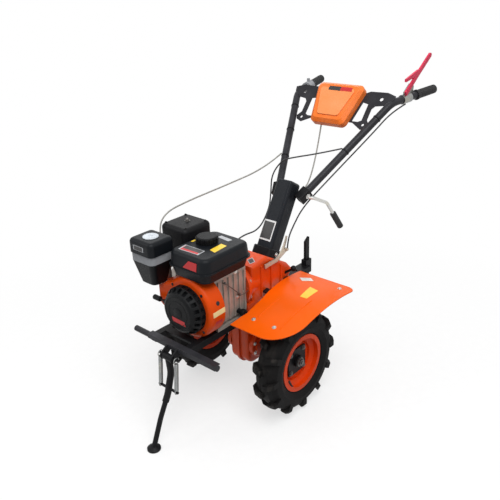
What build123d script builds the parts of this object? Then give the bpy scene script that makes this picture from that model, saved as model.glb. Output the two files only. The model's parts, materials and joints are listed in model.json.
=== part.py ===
"""Walk-behind power weeder: petrol engine on a short frame, two lugged tyres, handlebars and a front stand.

Places are measured from the point on the ground below the axle: X forward, Y to the machine's left, Z up,
in millimetres. Every piece is moved by AXLE_X when it is written, so that the origin of the finished part
is on the ground at the middle of its length.
"""

import os
from functools import cache
from math import atan2, cos, degrees, hypot, radians, sin, tan

from build123d import *

# Wheels: tyre 4.00-8 with open lugs
TYRE_R = 205.0            # radius at the lug tips, which is the axle height
LUG_HEIGHT = 14.0
LUG_COUNT = 12            # on each side of a tyre
LUG_LEAN = 38.0           # degrees from straight across
LUG_THICK = 22.0          # at the tread, along the rolling direction
LUG_GAP = 5.0             # from the tyre's mid plane to a lug
TYRE_W = 104.0
TYRE_FLATS = 48           # flats round the carcass
WHEEL_Y = 236.0           # mid plane of each tyre from the machine's mid plane
RIM_BEAD_R = 101.5
RIM_FLANGE_R = 115.0
RIM_W = 78.0              # over the flanges
RIM_SHEET = 3.5
RIM_WELL_R = 84.0
DISC_OUT = 6.0            # wheel disc outboard of the tyre's mid plane
DISC_HOLE_R = 24.0
DISC_FLAT_R = 72.0
HUB_PLATE = 104.0         # square flange across flats
HUB_PLATE_T = 6.0
HUB_TUBE_R = 23.5
HUB_LENGTH = 92.0
HUB_BOLT_SPACING = 78.0
HUB_BOLT_R = 5.0
AXLE_R = 14.0
AXLE_GAP = 2.0            # between the mid plane and each half shaft
RUN_CLEAR = 0.1           # radial clearance of a turning shaft

# Transmission
CASE_HALF_W = 48.0
LEG_FRONT_X = 54.0        # lower leg of the case, at the axle
LEG_REAR_X = -60.0
LEG_BOTTOM_Z = 122.0
LEG_CORNER = 42.0
LEG_WAIST_Z = 300.0       # the leg widens to the rear above this
LEG_EDGE_R = 14.0
NECK_FRONT_X = 45.0
NECK_REAR_X = -140.0
NECK_Z = 420.0
CASE_WALL = 9.0
SEAM_PROUD = 7.0
SEAM_T = 12.0
UPPER_HALF_W = 60.0
UPPER_EDGE_R = 10.0
UPPER_FRONT_X = 30.0
UPPER_FRONT_Z = 552.0
UPPER_BOTTOM_Z = 392.0
UPPER_REAR = (-214.0, 462.0)
UPPER_REAR_LOW = (-196.0, 424.0)
COLUMN_PAD = 63.0         # half length of the sloping pad under the column
PAD_FRONT_X = 62.0        # face that the engine frame bolts to
PAD_H = 80.0
BELL_R = 88.0
BELL_REAR_R = 74.0
BELL_REAR_X = -70.0
BELL_FLANGE_T = 14.0
RIB_X = (-20.0, -80.0, -140.0)
RIB_TOP_Z = (540.0, 546.0, 505.0)
RIB_T = 8.0
RIB_PROUD = 5.0
CAP_R = 50.0
CAP_T = 20.0
CAP_NOSE_R = 32.0
CAP_NOSE_L = 8.0

# Engine: crankshaft along X
CRANK_Y = -14.0
CRANK_Z = 473.0
BASE_Z = 367.0            # underside of the engine, top of the rails
CASE_FRONT_X = 226.0
CASE_LEFT_Y = 56.0
CASE_RIGHT_Y = -92.0
CASE_TOP_Z = 588.0
CASE_EDGE_R = 26.0
CASE_RIBS = 6
CASE_RIB_T = 4.0
CASE_RIB_PROUD = 6.0
FOOT_MARGIN = 14.0        # engine foot beyond the rails' mid lines
SHROUD_DEPTH = 70.0
SHROUD_FRONT_X = CASE_FRONT_X + SHROUD_DEPTH
SHROUD_R = 117.0
SHROUD_EDGE_R = 16.0
SHROUD_RIGHT_Y = -174.0
SHROUD_ARM_TOP_Z = 520.0
SHROUD_ARM_LOW_Z = 446.0
SHEET = 3.0
STARTER_R = 90.0
STARTER_FACE_R = 70.0
STARTER_DEPTH = 50.0
STARTER_SLOTS = 20
SLOT_W = 15.0
SLOT_DEEP = 12.0
PULL_X = 312.0
PULL_R = 10.0
PULL_L = 36.0
PULL_GUIDE_R = 8.0
PULL_ROPE_R = 4.0
PULL_GUIDE_L = 16.0
PULL_ROPE_L = 22.0
CYL_TILT = 25.0           # degrees above level, towards the machine's right
CYL_X = 136.0
BARREL_R = 42.0
FIN_COUNT = 8
FIN_PITCH = 10.5
FIN_T = 4.0
FIN_SIZE = (116.0, 108.0)
HEAD_SIZE = (96.0, 92.0, 16.0)
ROCKER_SIZE = (78.0, 74.0, 20.0)
CARB_R = 18.0
CARB_Z = 566.0
BOWL_R = 19.0
BOWL_H = 40.0
OIL_X = 110.0
OIL_Z = 404.0
OIL_CAP_R = 15.0
OIL_NECK_R = 10.0
OIL_CAP_L = 14.0

# Fuel tank
TANK_X = 185.0
TANK_Y = 0.0
TANK_L = 240.0
TANK_W = 190.0
TANK_CORNER = 32.0
TANK_GAP = 4.0            # above the crankcase
TANK_LOWER_H = 38.0
TANK_UPPER_H = 54.0
TANK_TOP_EDGE_R = 15.0
TANK_DRAFT = 4.0
TANK_BELLY = 10.0         # how far the lower shell draws in
TANK_LIP = 4.0
TANK_LIP_T = 5.0
TANK_BOTTOM_Z = CASE_TOP_Z + TANK_GAP
TANK_SEAM_Z = TANK_BOTTOM_Z + TANK_LOWER_H
TANK_TOP_Z = TANK_SEAM_Z + TANK_UPPER_H
FUEL_CAP_X = 170.0
FUEL_CAP_Y = -26.0
FUEL_CAP_R = 41.0
FUEL_CAP_H = 25.0
FUEL_CAP_RIBS = 16
FUEL_CAP_RIB = 8.0

# Air cleaner
CLEANER_X = 305.0
CLEANER_Y = -172.0
CLEANER_L = 114.0
CLEANER_W = 124.0
CLEANER_FOOT_Z = 541.0
CLEANER_BASE_H = 88.0
CLEANER_BAND_H = 32.0
CLEANER_COVER_H = 52.0
CLEANER_CORNER = 20.0
CLEANER_TOP_EDGE_R = 15.0
CLEANER_TAPER = 22.0
CLEANER_STEP = 3.0        # band and base are set in by this
CLEANER_BAND_Z = CLEANER_FOOT_Z + CLEANER_BASE_H
CLEANER_COVER_Z = CLEANER_BAND_Z + CLEANER_BAND_H

# Muffler and its guard
MUFFLER_X = 134.0
MUFFLER_Y = -172.0
GUARD_L = 140.0
GUARD_W = 136.0
GUARD_BOTTOM_Z = 592.0
GUARD_H = 125.0
GUARD_TOP_Z = GUARD_BOTTOM_Z + GUARD_H
GUARD_CORNER = 20.0
GUARD_EDGE_R = 17.0
GUARD_SHEET = 2.5
MUFFLER_GAP = 6.0
MUFFLER_WALL = 3.0
MUFFLER_DROP = 8.0        # muffler below the guard's edge
STUD_R = 8.0
STUD_APART = 60.0
PIPE_R = 14.0
PIPE_L = 60.0

# Engine frame, bumper and stand
RAIL = 26.0
RAIL_WALL = 4.0
RAIL_LEFT_Y = 47.0
RAIL_RIGHT_Y = -115.0
FRAME_PLATE_T = 10.0
FRAME_PLATE_H = 36.0
CROSS_X = SHROUD_FRONT_X + 10.0
CROSS_L = 30.0
CROSS_T = 8.0
BUMPER_X = 385.0
BUMPER_Z = 361.0
BUMPER_R = 11.0
BUMPER_HALF = 210.0
ANGLE_RIGHT_Y = -128.0    # angle bar welded on the bumper, from here to its left end
ANGLE_W = 26.0
ANGLE_H = 18.0
ANGLE_T = 3.5
PIVOT_X = BUMPER_X + 33.0
PIVOT_Z = BUMPER_Z - 24.0
PIVOT_R = 7.0
STAND_SLEEVE_R = 13.0
STAND_SLEEVE_HALF = 22.0
EAR_T = 6.0
EAR_CLEAR = 0.5
EAR_R = 15.0
ANCHOR_OFFSET = 4.0       # spring anchor behind the pivot axis
ANCHOR_R = 5.0
ANCHOR_L = 22.0
LEG_R = 12.5
LEG_LOW_R = 9.5
LEG_PATH = ((412.0, 270.0), (436.0, 192.0), (480.0, 110.0))    # x, z below the pivot
LEG_STEP_Z = 165.0        # the tube is thinner below this
LEG_BENDS = (90.0, 120.0)
LEG_LOW_BEND = 160.0
FOOT_X = 524.0
FOOT_R = 25.0
FOOT_RIM = 6.0
FOOT_H = 14.0
SPRING_R = 8.0
SPRING_WIRE = 2.0
SPRING_Y = 41.0
SPRING_PIN = (430.0, 212.0)
SPRING_PIN_R = 5.0
SPRING_EYE = PIVOT_R + 4.5

# Handle column and handlebars
COLUMN_FOOT = (-122.0, 0.0, 530.0)
COLUMN_LEAN = 30.0        # degrees from upright, towards the rear
COLUMN_L = 276.0
COLUMN_W = 75.0
COLUMN_D = 72.0
COLUMN_CORNER = 14.0
COLUMN_HEAD_R = 12.0
COLUMN_BASE_T = 34.0
COLUMN_BASE_PROUD = 8.0
COLUMN_WALL = 4.0
BAR_R = 15.0
BAR_WALL = 2.5
BAR_FOOT = (-268.0, 54.0, 734.0)
BAR_BEND = (-640.0, 232.0, 1070.0)
BAR_END = (-893.0, 285.0, 1095.0)
BAR_BEND_R = 90.0
GRIP_R = 18.0
GRIP_L = 116.0
GRIP_COLLAR_L = 8.0
GRIP_COLLAR_R = 21.0
CLAMP_L = 52.0
CLAMP_WALL = 6.0
CLAMP_CORNER = 8.0

# Console
CONSOLE_MID = (-602.0, 0.0, 1040.0)
CONSOLE_LEAN = 50.0       # degrees that the console's face leans back from upright
CONSOLE_H = 184.0
CONSOLE_TOP_W = 230.0
CONSOLE_BOTTOM_W = 160.0
CONSOLE_DEPTH = 40.0
CONSOLE_BEVEL = 14.0
CONSOLE_WALL = 3.5
CONSOLE_CORNER = 22.0
CONSOLE_PANEL_TRIM = 30.0
CONSOLE_PANEL_T = 4.0
CONSOLE_PLATE_T = 4.0

# Controls
LEVER_Y = 256.0           # right face of the red lever
LEVER_T = 8.0
LEVER_HALF_W = 9.0
LEVER_PATH = ((-697.0, 1100.0), (-795.0, 1170.0), (-884.0, 1230.0))    # x, z
LEVER_TAB = ((-690.0, 1147.0), (-690.0, 1158.0), (-788.0, 1184.0), (-801.0, 1164.0))
CLUTCH_PLATE = ((-694.0, 1076.0), (-694.0, 1108.0), (-736.0, 1136.0), (-772.0, 1122.0), (-762.0, 1078.0))
CLUTCH_PLATE_T = 5.0
CLUTCH_SLEEVE_R = BAR_R + 4.0
CLUTCH_SLEEVE = (36.0, 84.0)    # ahead of the grip, start and end
THROTTLE_R = BAR_R + 8.0
THROTTLE_SLEEVE = (6.0, 52.0)
THROTTLE_TAB = (12.0, 8.0, 26.0)
LOCK_PATH = ((-292.0, 74.0, 744.0), (-316.0, 96.0, 736.0), (-390.0, 104.0, 698.0), (-480.0, 112.0, 572.0))
LOCK_BENDS = (16.0, 40.0)
LOCK_R = 7.0
LOCK_GRIP_R = 13.0
LOCK_GRIP_L = 84.0
LOCK_GRIP_CAP = 4.0
SHIFT_PATH = ((-34.0, 534.0), (-104.0, 537.0), (-166.0, 562.0))    # x, z
SHIFT_HALF_W = 8.0
SHIFT_T = 6.0
SHIFT_PIN_R = 6.0
SHIFT_PIN_L = 12.0
SELECTOR_ROOT = (-170.0, 452.0)
SELECTOR_TIP = (-176.0, 474.0)
SELECTOR_REACH = 26.0
SELECTOR_R = 5.0
SELECTOR_BALL_R = 12.0

# Fenders
FENDER_OUT_Y = 334.0
FENDER_GAP = 30.0         # above the tyres, at the top of the arch
FENDER_Z = 2 * TYRE_R + FENDER_GAP
FENDER_ARCH_R = 820.0     # the sheet is a shallow arch along its length
FENDER_TOP_X = -120.0     # highest place of the arch
FENDER_FRONT_X = 178.0
FENDER_REAR_X = -264.0
FENDER_INNER = (          # x, y of the inner edge, which bows out beside the engine
    (-119.0, 74.0),
    (-30.0, 86.0),
    (23.0, 95.0),
    (107.0, 98.0),
    (138.0, 88.0),
)
FENDER_REAR_Y = 64.0      # inner edge at the rear corner
FENDER_FRONT_Y = 76.0     # inner edge at the front corner
FENDER_T = 3.0
FENDER_CORNER = 120.0
FENDER_REAR_CORNER = 36.0
FENDER_NOTCH_X = -84.0    # the engine side of the right fender is cut away from here forward
FENDER_NOTCH_Y = 152.0
STRUT_X = (-40.0, -170.0)
STRUT_W = 28.0
STRUT_T = 5.0
STRUT_SHORT = 60.0        # strut ends this far inside the fender's edge

# Rear hitch
HITCH_X = -396.0
HITCH_Z = 384.0
HITCH_FRONT_X = -150.0
TONGUE_HALF_W = 26.0
STAKE_W = 24.0            # along X
STAKE_T = 12.0
STAKE_TOP_Z = 518.0
STAKE_SLANT = 18.0
STAKE_POINT = 30.0
STAKE_BOTTOM_Z = 150.0
SOCKET_WALL = 7.0
SOCKET_H = 64.0
HITCH_PIN_R = 8.5
HITCH_PIN_X = -318.0
HITCH_PLATE_T = 12.0

# Cables: each through its points
CABLE_R = 3.0
CABLE_REACH = 0.45       # share of the shorter run that a bend takes up
THROTTLE_CABLE = ((-393.0, -131.0, 867.0), (-283.0, -132.0, 828.0), (-99.0, -190.0, 790.0), (60.0, -224.0, 768.0),
                  (184.0, -232.0, 752.0), (226.0, -225.0, 690.0), (226.0, -198.0, CARB_Z + CARB_R + 0.4))
STOP_WIRE = ((-451.0, 129.3, 912.6), (-385.0, 60.0, 896.0), (-327.0, -20.0, 881.0), (-338.0, -84.0, 858.0),
             (-303.0, -112.0, 800.0), (-292.0, -108.0, 728.0), (-250.0, -84.0, 672.0), (-140.0, -47.0, 624.0),
             (-40.0, -41.0, 636.0), (6.0, -40.0, 626.0), (10.0, -40.0, 574.0), (PAD_FRONT_X - 0.3, -40.0, 574.0))
CONSOLE_WIRE = ((-549.0, -40.0, 972.0), (-520.0, -36.0, 880.0), (-437.0, -8.0, 782.0), (-352.0, 20.0, 746.0),
                (-294.0, 24.0, 752.0))
CLUTCH_CABLE = ((-728.0, 246.0, 1054.0), (-630.0, 238.0, 1036.0), (-560.0, 206.0, 968.0), (-380.0, 112.0, 796.0),
                (-286.0, 60.0, 700.0), (-212.0, 66.0, 640.0), (-172.0, 74.0, 606.0), (-166.0, 75.0, 569.0))

GRIP_OVERHANG = 3.0       # closed end of a grip beyond its bar
BAR_DIR = (Vector(*BAR_END) - Vector(*BAR_BEND)).normalized()
REAR_REACH = -(BAR_END[0] + GRIP_OVERHANG * BAR_DIR.X) + GRIP_R * hypot(BAR_DIR.Y, BAR_DIR.Z)
FRONT_REACH = FOOT_X + FOOT_R
AXLE_X = (REAR_REACH - FRONT_REACH) / 2


def cyl_y(radius, y0, y1, x=0.0, z=0.0):
    """A cylinder along Y between two places."""
    turn = Rot(X=-90)
    return Pos(x, y0, z) * turn * Cylinder(radius, y1 - y0, align=(Align.CENTER, Align.CENTER, Align.MIN))


def cyl_x(radius, x0, x1, y=0.0, z=0.0):
    """A cylinder along X between two places."""
    turn = Rot(Y=90)
    return Pos(x0, y, z) * turn * Cylinder(radius, x1 - x0, align=(Align.CENTER, Align.CENTER, Align.MIN))


def block(x0, x1, y0, y1, z0, z1):
    """A box between two corners."""
    return Pos((x0 + x1) / 2, (y0 + y1) / 2, (z0 + z1) / 2) * Box(x1 - x0, y1 - y0, z1 - z0)


def side_plate(points, y0, y1):
    """An outline in the XZ plane, filled from y0 to y1."""
    face = make_face(Polyline(*[(x, 0, z) for x, z in points], close=True))
    return Pos(0, y0, 0) * extrude(face, amount=y1 - y0, dir=(0, 1, 0))


def rod(points, radius, bends=()):
    """A round bar through the points, with a bend radius at each inner one."""
    if len(points) == 2:
        path = Line(*points)
    else:
        path = FilletPolyline(*points, radius=list(bends))
    section = Plane(origin=path @ 0, z_dir=path % 0) * Circle(radius)
    return sweep(section, path=path)


def cable(points):
    """A cable through the points: straight runs joined by the widest arcs that fit."""
    spots = [Vector(*p) for p in points]
    bends = []
    for before, here, after in zip(spots, spots[1:], spots[2:]):
        run_in, run_out = here - before, after - here
        half_turn = radians(run_in.get_angle(run_out)) / 2
        bends.append(CABLE_REACH * min(run_in.length, run_out.length) / tan(half_turn))
    return rod(points, CABLE_R, bends)


def bent_strip(points, half_width):
    """Outline of a flat bar along the points of the XZ plane, as (x, z) corners."""
    sides = ([], [])
    for k, (x, z) in enumerate(points):
        x0, z0 = points[max(k - 1, 0)]
        x1, z1 = points[min(k + 1, len(points) - 1)]
        run = hypot(x1 - x0, z1 - z0)
        for line, sign in zip(sides, (1, -1)):
            line.append((x - sign * half_width * (z1 - z0) / run, z + sign * half_width * (x1 - x0) / run))
    return sides[0] + sides[1][::-1]


def mirrored(shape):
    """The same piece on the machine's other side."""
    return mirror(shape, about=Plane.XZ)


def ring_about_axle(points):
    """A closed (radius, y) outline turned about the wheel's axle."""
    face = make_face(Polyline(*[(0, y, r) for r, y in points], close=True))
    return Pos(0, 0, TYRE_R) * revolve(face, axis=Axis.Y)


# Wheels

def tyre():
    """Left tyre: carcass on the bead seats, with a row of leaning lugs on each side."""
    crown = TYRE_R - LUG_HEIGHT
    half = TYRE_W / 2
    seat = RIM_W / 2 - RIM_SHEET
    bulge = (crown - 48, half - 2)          # radius, distance from the mid plane
    tread = [bulge, (crown - 24, half - 4), (crown - 7, half - 16), (crown, half - 34)]
    inside = [bulge, (RIM_FLANGE_R + 7, seat + 6), (RIM_FLANGE_R + 2, seat)]
    carcass = flats([(r, -y) for r, y in tread] + tread[::-1])
    carcass -= flats(inside)
    carcass -= flats([(r, -y) for r, y in inside])
    carcass -= cyl_y(RIM_BEAD_R, -half, half)
    return Pos(0, WHEEL_Y, TYRE_R) * carcass + lugs(crown, half)


def flats(rows):
    """A many-sided solid about the Y axis through rows of radius and y."""
    sections = []
    for radius, y in rows:
        across = Plane(origin=(0, y, 0), x_dir=(1, 0, 0), z_dir=(0, 1, 0))
        sections.append(across * RegularPolygon(radius, TYRE_FLATS, major_radius=False))
    return loft(sections, ruled=True)


def lugs(crown, half):
    """Two rows of lugs, one row half a pitch behind the other."""
    root = crown - 8
    foot = crown - 34                       # lower end of a lug on the sidewall
    section = [                             # distance from the mid plane, radius
        (LUG_GAP, root),
        (LUG_GAP, TYRE_R - 2),
        (LUG_GAP + 10, TYRE_R),
        (half - 14, TYRE_R - 2),
        (half, TYRE_R - 16),
        (half, foot + 8),
        (half - 6, foot),
        (half - 22, root),
    ]
    pitch = 360 / LUG_COUNT
    shear = tan(radians(LUG_LEAN))
    made = []
    for side, phase in ((1, 0.0), (-1, pitch / 2)):
        for k in range(LUG_COUNT):
            ends = []
            for edge in (-LUG_THICK / 2, LUG_THICK / 2):
                line = [(edge + shear * (half - y) * 0.45, side * y, r) for y, r in section]
                ends.append(make_face(Polyline(*line, close=True)))
            lug = loft(ends, ruled=True)
            turn = Rot(Y=90 + k * pitch + phase)
            made.append(Pos(0, WHEEL_Y, TYRE_R) * turn * lug)
    return made


def rim():
    """Left rim: rolled flanges, bead seats and well, with the disc welded inside it."""
    half = RIM_W / 2
    t = RIM_SHEET
    seat, well = RIM_BEAD_R, RIM_WELL_R
    outer = [            # radius, distance from the mid plane, along the tyre side
        (RIM_FLANGE_R, half),
        (RIM_FLANGE_R, half - t),
        (seat, half - t),
        (seat, half - 20),
        (well, half - 28),
    ]
    inner = [            # the open side, from the well back to the flange
        (well - t, half - 29),
        (seat - t, half - 19),
        (seat - t, half),
    ]
    ring = outer + [(r, -y) for r, y in reversed(outer)] + [(r, -y) for r, y in reversed(inner)] + inner
    barrel = ring_about_axle(ring)
    disc_in = DISC_OUT - 4
    disc = [             # radius, distance from the mid plane: raised ring, then the flat seat of the hub
        (well - t + 0.5, disc_in - 6),
        (well - t + 0.5, disc_in - 2),
        (DISC_FLAT_R, disc_in + 4),
        (DISC_HOLE_R, disc_in + 4),
        (DISC_HOLE_R, disc_in),
        (DISC_FLAT_R, disc_in),
    ]
    made = barrel + ring_about_axle(disc)
    reach = HUB_BOLT_SPACING / 2
    for sx in (-1, 1):
        for sz in (-1, 1):
            made -= cyl_y(HUB_BOLT_R, -10, 30, sx * reach, TYRE_R + sz * reach)
    return Pos(0, WHEEL_Y, 0) * made


def hub():
    """Left hub: square flange on a tube that is keyed to the half shaft."""
    seat = DISC_OUT
    plate = Pos(0, seat, TYRE_R) * Rot(X=-90) * extrude(RectangleRounded(HUB_PLATE, HUB_PLATE, 8), HUB_PLATE_T)
    reach = HUB_BOLT_SPACING / 2
    for sx in (-1, 1):
        for sz in (-1, 1):
            plate -= cyl_y(HUB_BOLT_R, 0, 30, sx * reach, TYRE_R + sz * reach)
    tube = cyl_y(HUB_TUBE_R, seat + HUB_PLATE_T - HUB_LENGTH, seat + HUB_PLATE_T + 14, 0, TYRE_R)
    made = plate + tube
    made -= cyl_y(AXLE_R, -HUB_LENGTH - 10, HUB_LENGTH, 0, TYRE_R)
    return Pos(0, WHEEL_Y, 0) * made


def half_shaft():
    """Left half of the output shaft, from inside the case to the hub's outer end."""
    end = WHEEL_Y + DISC_OUT + HUB_PLATE_T + 18
    shaft = cyl_y(AXLE_R, AXLE_GAP, end, 0, TYRE_R)
    return chamfer(shaft.edges().group_by(Axis.Y)[-1], 2)


# Transmission

@cache
def transmission_case():
    """Cast case: leg down to the axle, upper gear case under the column, and the bell behind the engine."""
    rows = [             # x, z around the leg
        (NECK_FRONT_X, NECK_Z),
        (LEG_FRONT_X, LEG_WAIST_Z),
        (LEG_FRONT_X, LEG_BOTTOM_Z),
        (LEG_REAR_X, LEG_BOTTOM_Z),
        (LEG_REAR_X, LEG_WAIST_Z),
        (NECK_REAR_X, NECK_Z),
    ]
    outline = make_face(Polyline(*rows, close=True))
    outline = fillet(outline.vertices().group_by(Axis.Y)[0], LEG_CORNER)
    leg = extrude(Plane.XZ * outline, CASE_HALF_W, both=True)
    leg = fillet(leg.faces().filter_by(Axis.Y).edges(), LEG_EDGE_R)
    leg += extrude(Plane.XZ * offset(outline, SEAM_PROUD, kind=Kind.ARC), SEAM_T / 2, both=True)

    foot_x, foot_z = COLUMN_FOOT[0], COLUMN_FOOT[2]
    rise = tan(radians(COLUMN_LEAN))
    upper = [            # x, z around the upper gear case
        (UPPER_FRONT_X, UPPER_BOTTOM_Z),
        (UPPER_FRONT_X, UPPER_FRONT_Z),
        (foot_x + COLUMN_PAD, foot_z + COLUMN_PAD * rise),
        (foot_x - COLUMN_PAD, foot_z - COLUMN_PAD * rise),
        UPPER_REAR,
        UPPER_REAR_LOW,
        (NECK_REAR_X, UPPER_BOTTOM_Z),
    ]
    gears = side_plate(upper, -UPPER_HALF_W, UPPER_HALF_W)
    gears = fillet(gears.edges().filter_by(Axis.Y, reverse=True), UPPER_EDGE_R)
    flange_x = PAD_FRONT_X - BELL_FLANGE_T
    bell_rear = Plane(origin=(BELL_REAR_X, CRANK_Y, CRANK_Z), z_dir=(1, 0, 0)) * Circle(BELL_REAR_R)
    bell_front = Plane(origin=(flange_x, CRANK_Y, CRANK_Z), z_dir=(1, 0, 0)) * Circle(BELL_R - UPPER_EDGE_R)
    bell = loft([bell_rear, bell_front])
    flange = cyl_x(BELL_R, flange_x, PAD_FRONT_X, CRANK_Y, CRANK_Z)
    pad = block(0, PAD_FRONT_X, -UPPER_HALF_W, UPPER_HALF_W, BASE_Z - PAD_H / 2, BASE_Z + PAD_H / 2)
    made = leg + gears + bell + flange + pad
    for x, top in zip(RIB_X, RIB_TOP_Z):
        for y in (-UPPER_HALF_W, UPPER_HALF_W):
            made += block(x - RIB_T / 2, x + RIB_T / 2, y - RIB_PROUD, y + RIB_PROUD, NECK_Z - RIB_T, top)
    wall = CASE_WALL
    half = CASE_HALF_W - wall
    made -= block(LEG_REAR_X + wall, LEG_FRONT_X - wall, -half, half, LEG_BOTTOM_Z + 2 * wall, NECK_Z)
    half = UPPER_HALF_W - wall
    made -= block(NECK_REAR_X, UPPER_FRONT_X - wall, -half, half, UPPER_BOTTOM_Z + wall, CRANK_Z)
    made -= block(BELL_REAR_X, UPPER_FRONT_X - wall, -half, half, CRANK_Z, UPPER_FRONT_Z - 2 * wall)
    made -= cyl_x(BELL_REAR_R - wall, BELL_REAR_X, PAD_FRONT_X - wall, CRANK_Y, CRANK_Z)
    return made - cyl_y(AXLE_R + RUN_CLEAR, -UPPER_HALF_W, UPPER_HALF_W, 0, TYRE_R)


def axle_caps():
    """Bearing caps on both sides of the leg."""
    face_y = CASE_HALF_W + CAP_T
    cap = cyl_y(CAP_R, CASE_HALF_W, face_y, 0, TYRE_R)
    cap = fillet(cap.edges().group_by(Axis.Y)[-1], CAP_T / 3)
    cap += cyl_y(CAP_NOSE_R, face_y, face_y + CAP_NOSE_L, 0, TYRE_R)
    cap -= cyl_y(AXLE_R + RUN_CLEAR, 0, WHEEL_Y, 0, TYRE_R)
    return Compound([cap, mirrored(cap)])


# Engine

@cache
def crankcase():
    """Aluminium crankcase on its foot, ribbed on the open side, with the tank's seat on top."""
    body = block(PAD_FRONT_X, CASE_FRONT_X, CASE_RIGHT_Y, CASE_LEFT_Y, BASE_Z + FOOT_MARGIN / 2, CASE_TOP_Z)
    body = fillet(body.edges().filter_by(Axis.X), CASE_EDGE_R)
    foot = block(PAD_FRONT_X + FRAME_PLATE_T, CASE_FRONT_X, RAIL_RIGHT_Y - FOOT_MARGIN, RAIL_LEFT_Y + FOOT_MARGIN,
                 BASE_Z, BASE_Z + FOOT_MARGIN)
    seat = block(PAD_FRONT_X + CASE_EDGE_R, CASE_FRONT_X - CASE_EDGE_R, CASE_RIGHT_Y + CASE_EDGE_R,
                 CASE_LEFT_Y - CASE_EDGE_R, CASE_TOP_Z - FOOT_MARGIN, TANK_BOTTOM_Z)
    made = body + foot + seat
    step = (CASE_FRONT_X - PAD_FRONT_X) / CASE_RIBS
    for k in range(CASE_RIBS):
        x = PAD_FRONT_X + (k + 0.5) * step
        made += block(x - CASE_RIB_T / 2, x + CASE_RIB_T / 2, 0, CASE_LEFT_Y + CASE_RIB_PROUD,
                      BASE_Z + CASE_EDGE_R, CASE_TOP_Z - CASE_EDGE_R)
    return made


@cache
def cylinder_head():
    """Finned cylinder, head and rocker cover, leaning to the machine's right."""
    stand = (Align.CENTER, Align.CENTER, Align.MIN)
    top = FIN_COUNT * FIN_PITCH
    root = 1.5 * BARREL_R
    made = Pos(0, 0, -root) * Cylinder(BARREL_R, top + root, align=stand)
    for k in range(FIN_COUNT):
        made += Pos(0, 0, k * FIN_PITCH + FIN_T) * Box(*FIN_SIZE, FIN_T)
    made += Pos(0, 0, top) * Box(*HEAD_SIZE, align=stand)
    cover = Pos(0, 0, top + HEAD_SIZE[2]) * Box(*ROCKER_SIZE, align=stand)
    made += fillet(cover.edges().group_by(Axis.Z)[-1], ROCKER_SIZE[2] / 3)
    made = Pos(CYL_X, CASE_RIGHT_Y - CASE_EDGE_R, CRANK_Z) * Rot(X=90 - CYL_TILT) * made
    return made - block(PAD_FRONT_X, CASE_FRONT_X, CASE_RIGHT_Y, CASE_LEFT_Y, BASE_Z, CASE_TOP_Z)


def shroud_outline():
    """Front outline of the fan shroud, in Y and Z: round at the left, square over the cylinder."""
    ring = Pos(CRANK_Y, CRANK_Z) * Circle(SHROUD_R)
    arm = [
        (CRANK_Y, CRANK_Z + SHROUD_R),
        (SHROUD_RIGHT_Y + 2 * SHROUD_EDGE_R, SHROUD_ARM_TOP_Z + SHROUD_EDGE_R),
        (SHROUD_RIGHT_Y, SHROUD_ARM_TOP_Z),
        (SHROUD_RIGHT_Y, SHROUD_ARM_LOW_Z),
        (CRANK_Y - 0.66 * SHROUD_R, CRANK_Z - 0.69 * SHROUD_R),
        (CRANK_Y, CRANK_Z - 0.92 * SHROUD_R),
    ]
    return ring + make_face(Polyline(*arm, close=True))


def fan_shroud():
    """Sheet cowl over the flywheel fan, open behind, with the starter's opening in front."""
    facing = Plane(origin=(CASE_FRONT_X, 0, 0), x_dir=(0, 1, 0), z_dir=(1, 0, 0))
    outline = shroud_outline()
    solid = extrude(facing * outline, SHROUD_DEPTH)
    solid = fillet(solid.faces().sort_by(Axis.X)[-1].edges(), SHROUD_EDGE_R)
    hollow = extrude(facing * offset(outline, -SHEET), SHROUD_DEPTH - SHEET)
    hollow = fillet(hollow.faces().sort_by(Axis.X)[-1].edges(), SHROUD_EDGE_R - SHEET)
    made = solid - hollow
    made -= block(0, BUMPER_X, RAIL_LEFT_Y - RAIL / 2 - 1, RAIL_LEFT_Y + SHROUD_R, 0, BASE_Z + 1)
    mouth = STARTER_R - SHROUD_EDGE_R / 2
    return made - cyl_x(mouth, SHROUD_FRONT_X - SHROUD_EDGE_R, SHROUD_FRONT_X + 1, CRANK_Y, CRANK_Z)


@cache
def recoil_starter():
    """Starter cover: flat face, a shoulder with two rows of slots, and a wide rim on the shroud."""
    depth = STARTER_DEPTH
    profile = [          # distance from the shroud, radius
        (0, 0),
        (0, STARTER_R),
        (depth * 0.45, STARTER_R),
        (depth * 0.92, STARTER_FACE_R + 4),
        (depth, STARTER_FACE_R - 4),
        (depth, 0),
    ]
    face = make_face(Polyline(*[(x, 0, r) for x, r in profile], close=True))
    cover = revolve(face, axis=Axis.X)
    for k in range(STARTER_SLOTS):
        turn = Rot(X=k * 360 / STARTER_SLOTS)
        cover -= turn * Pos(depth * 0.24, 0, STARTER_R) * Box(depth * 0.26, SLOT_W, SLOT_DEEP)
        cover -= turn * Pos(depth * 0.66, 0, STARTER_R - 2) * Box(depth * 0.36, SLOT_W, 2 * SLOT_DEEP)
    return Pos(SHROUD_FRONT_X, CRANK_Y, CRANK_Z) * cover


def starter_grip():
    """Pull grip of the recoil starter on its rope, with the guide in the starter's side."""
    guide_end = CRANK_Y - STARTER_R - PULL_GUIDE_L
    grip_end = guide_end - PULL_ROPE_L
    guide = cyl_y(PULL_GUIDE_R, guide_end, CRANK_Y - STARTER_R / 2, PULL_X, CRANK_Z)
    rope = cyl_y(PULL_ROPE_R, grip_end, guide_end, PULL_X, CRANK_Z)
    grip = cyl_y(PULL_R, grip_end - PULL_L, grip_end, PULL_X, CRANK_Z)
    grip = fillet(grip.edges(), PULL_R / 3)
    whole = guide + rope + grip - recoil_starter()
    return whole.solids().sort_by(SortBy.VOLUME)[-1]


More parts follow.
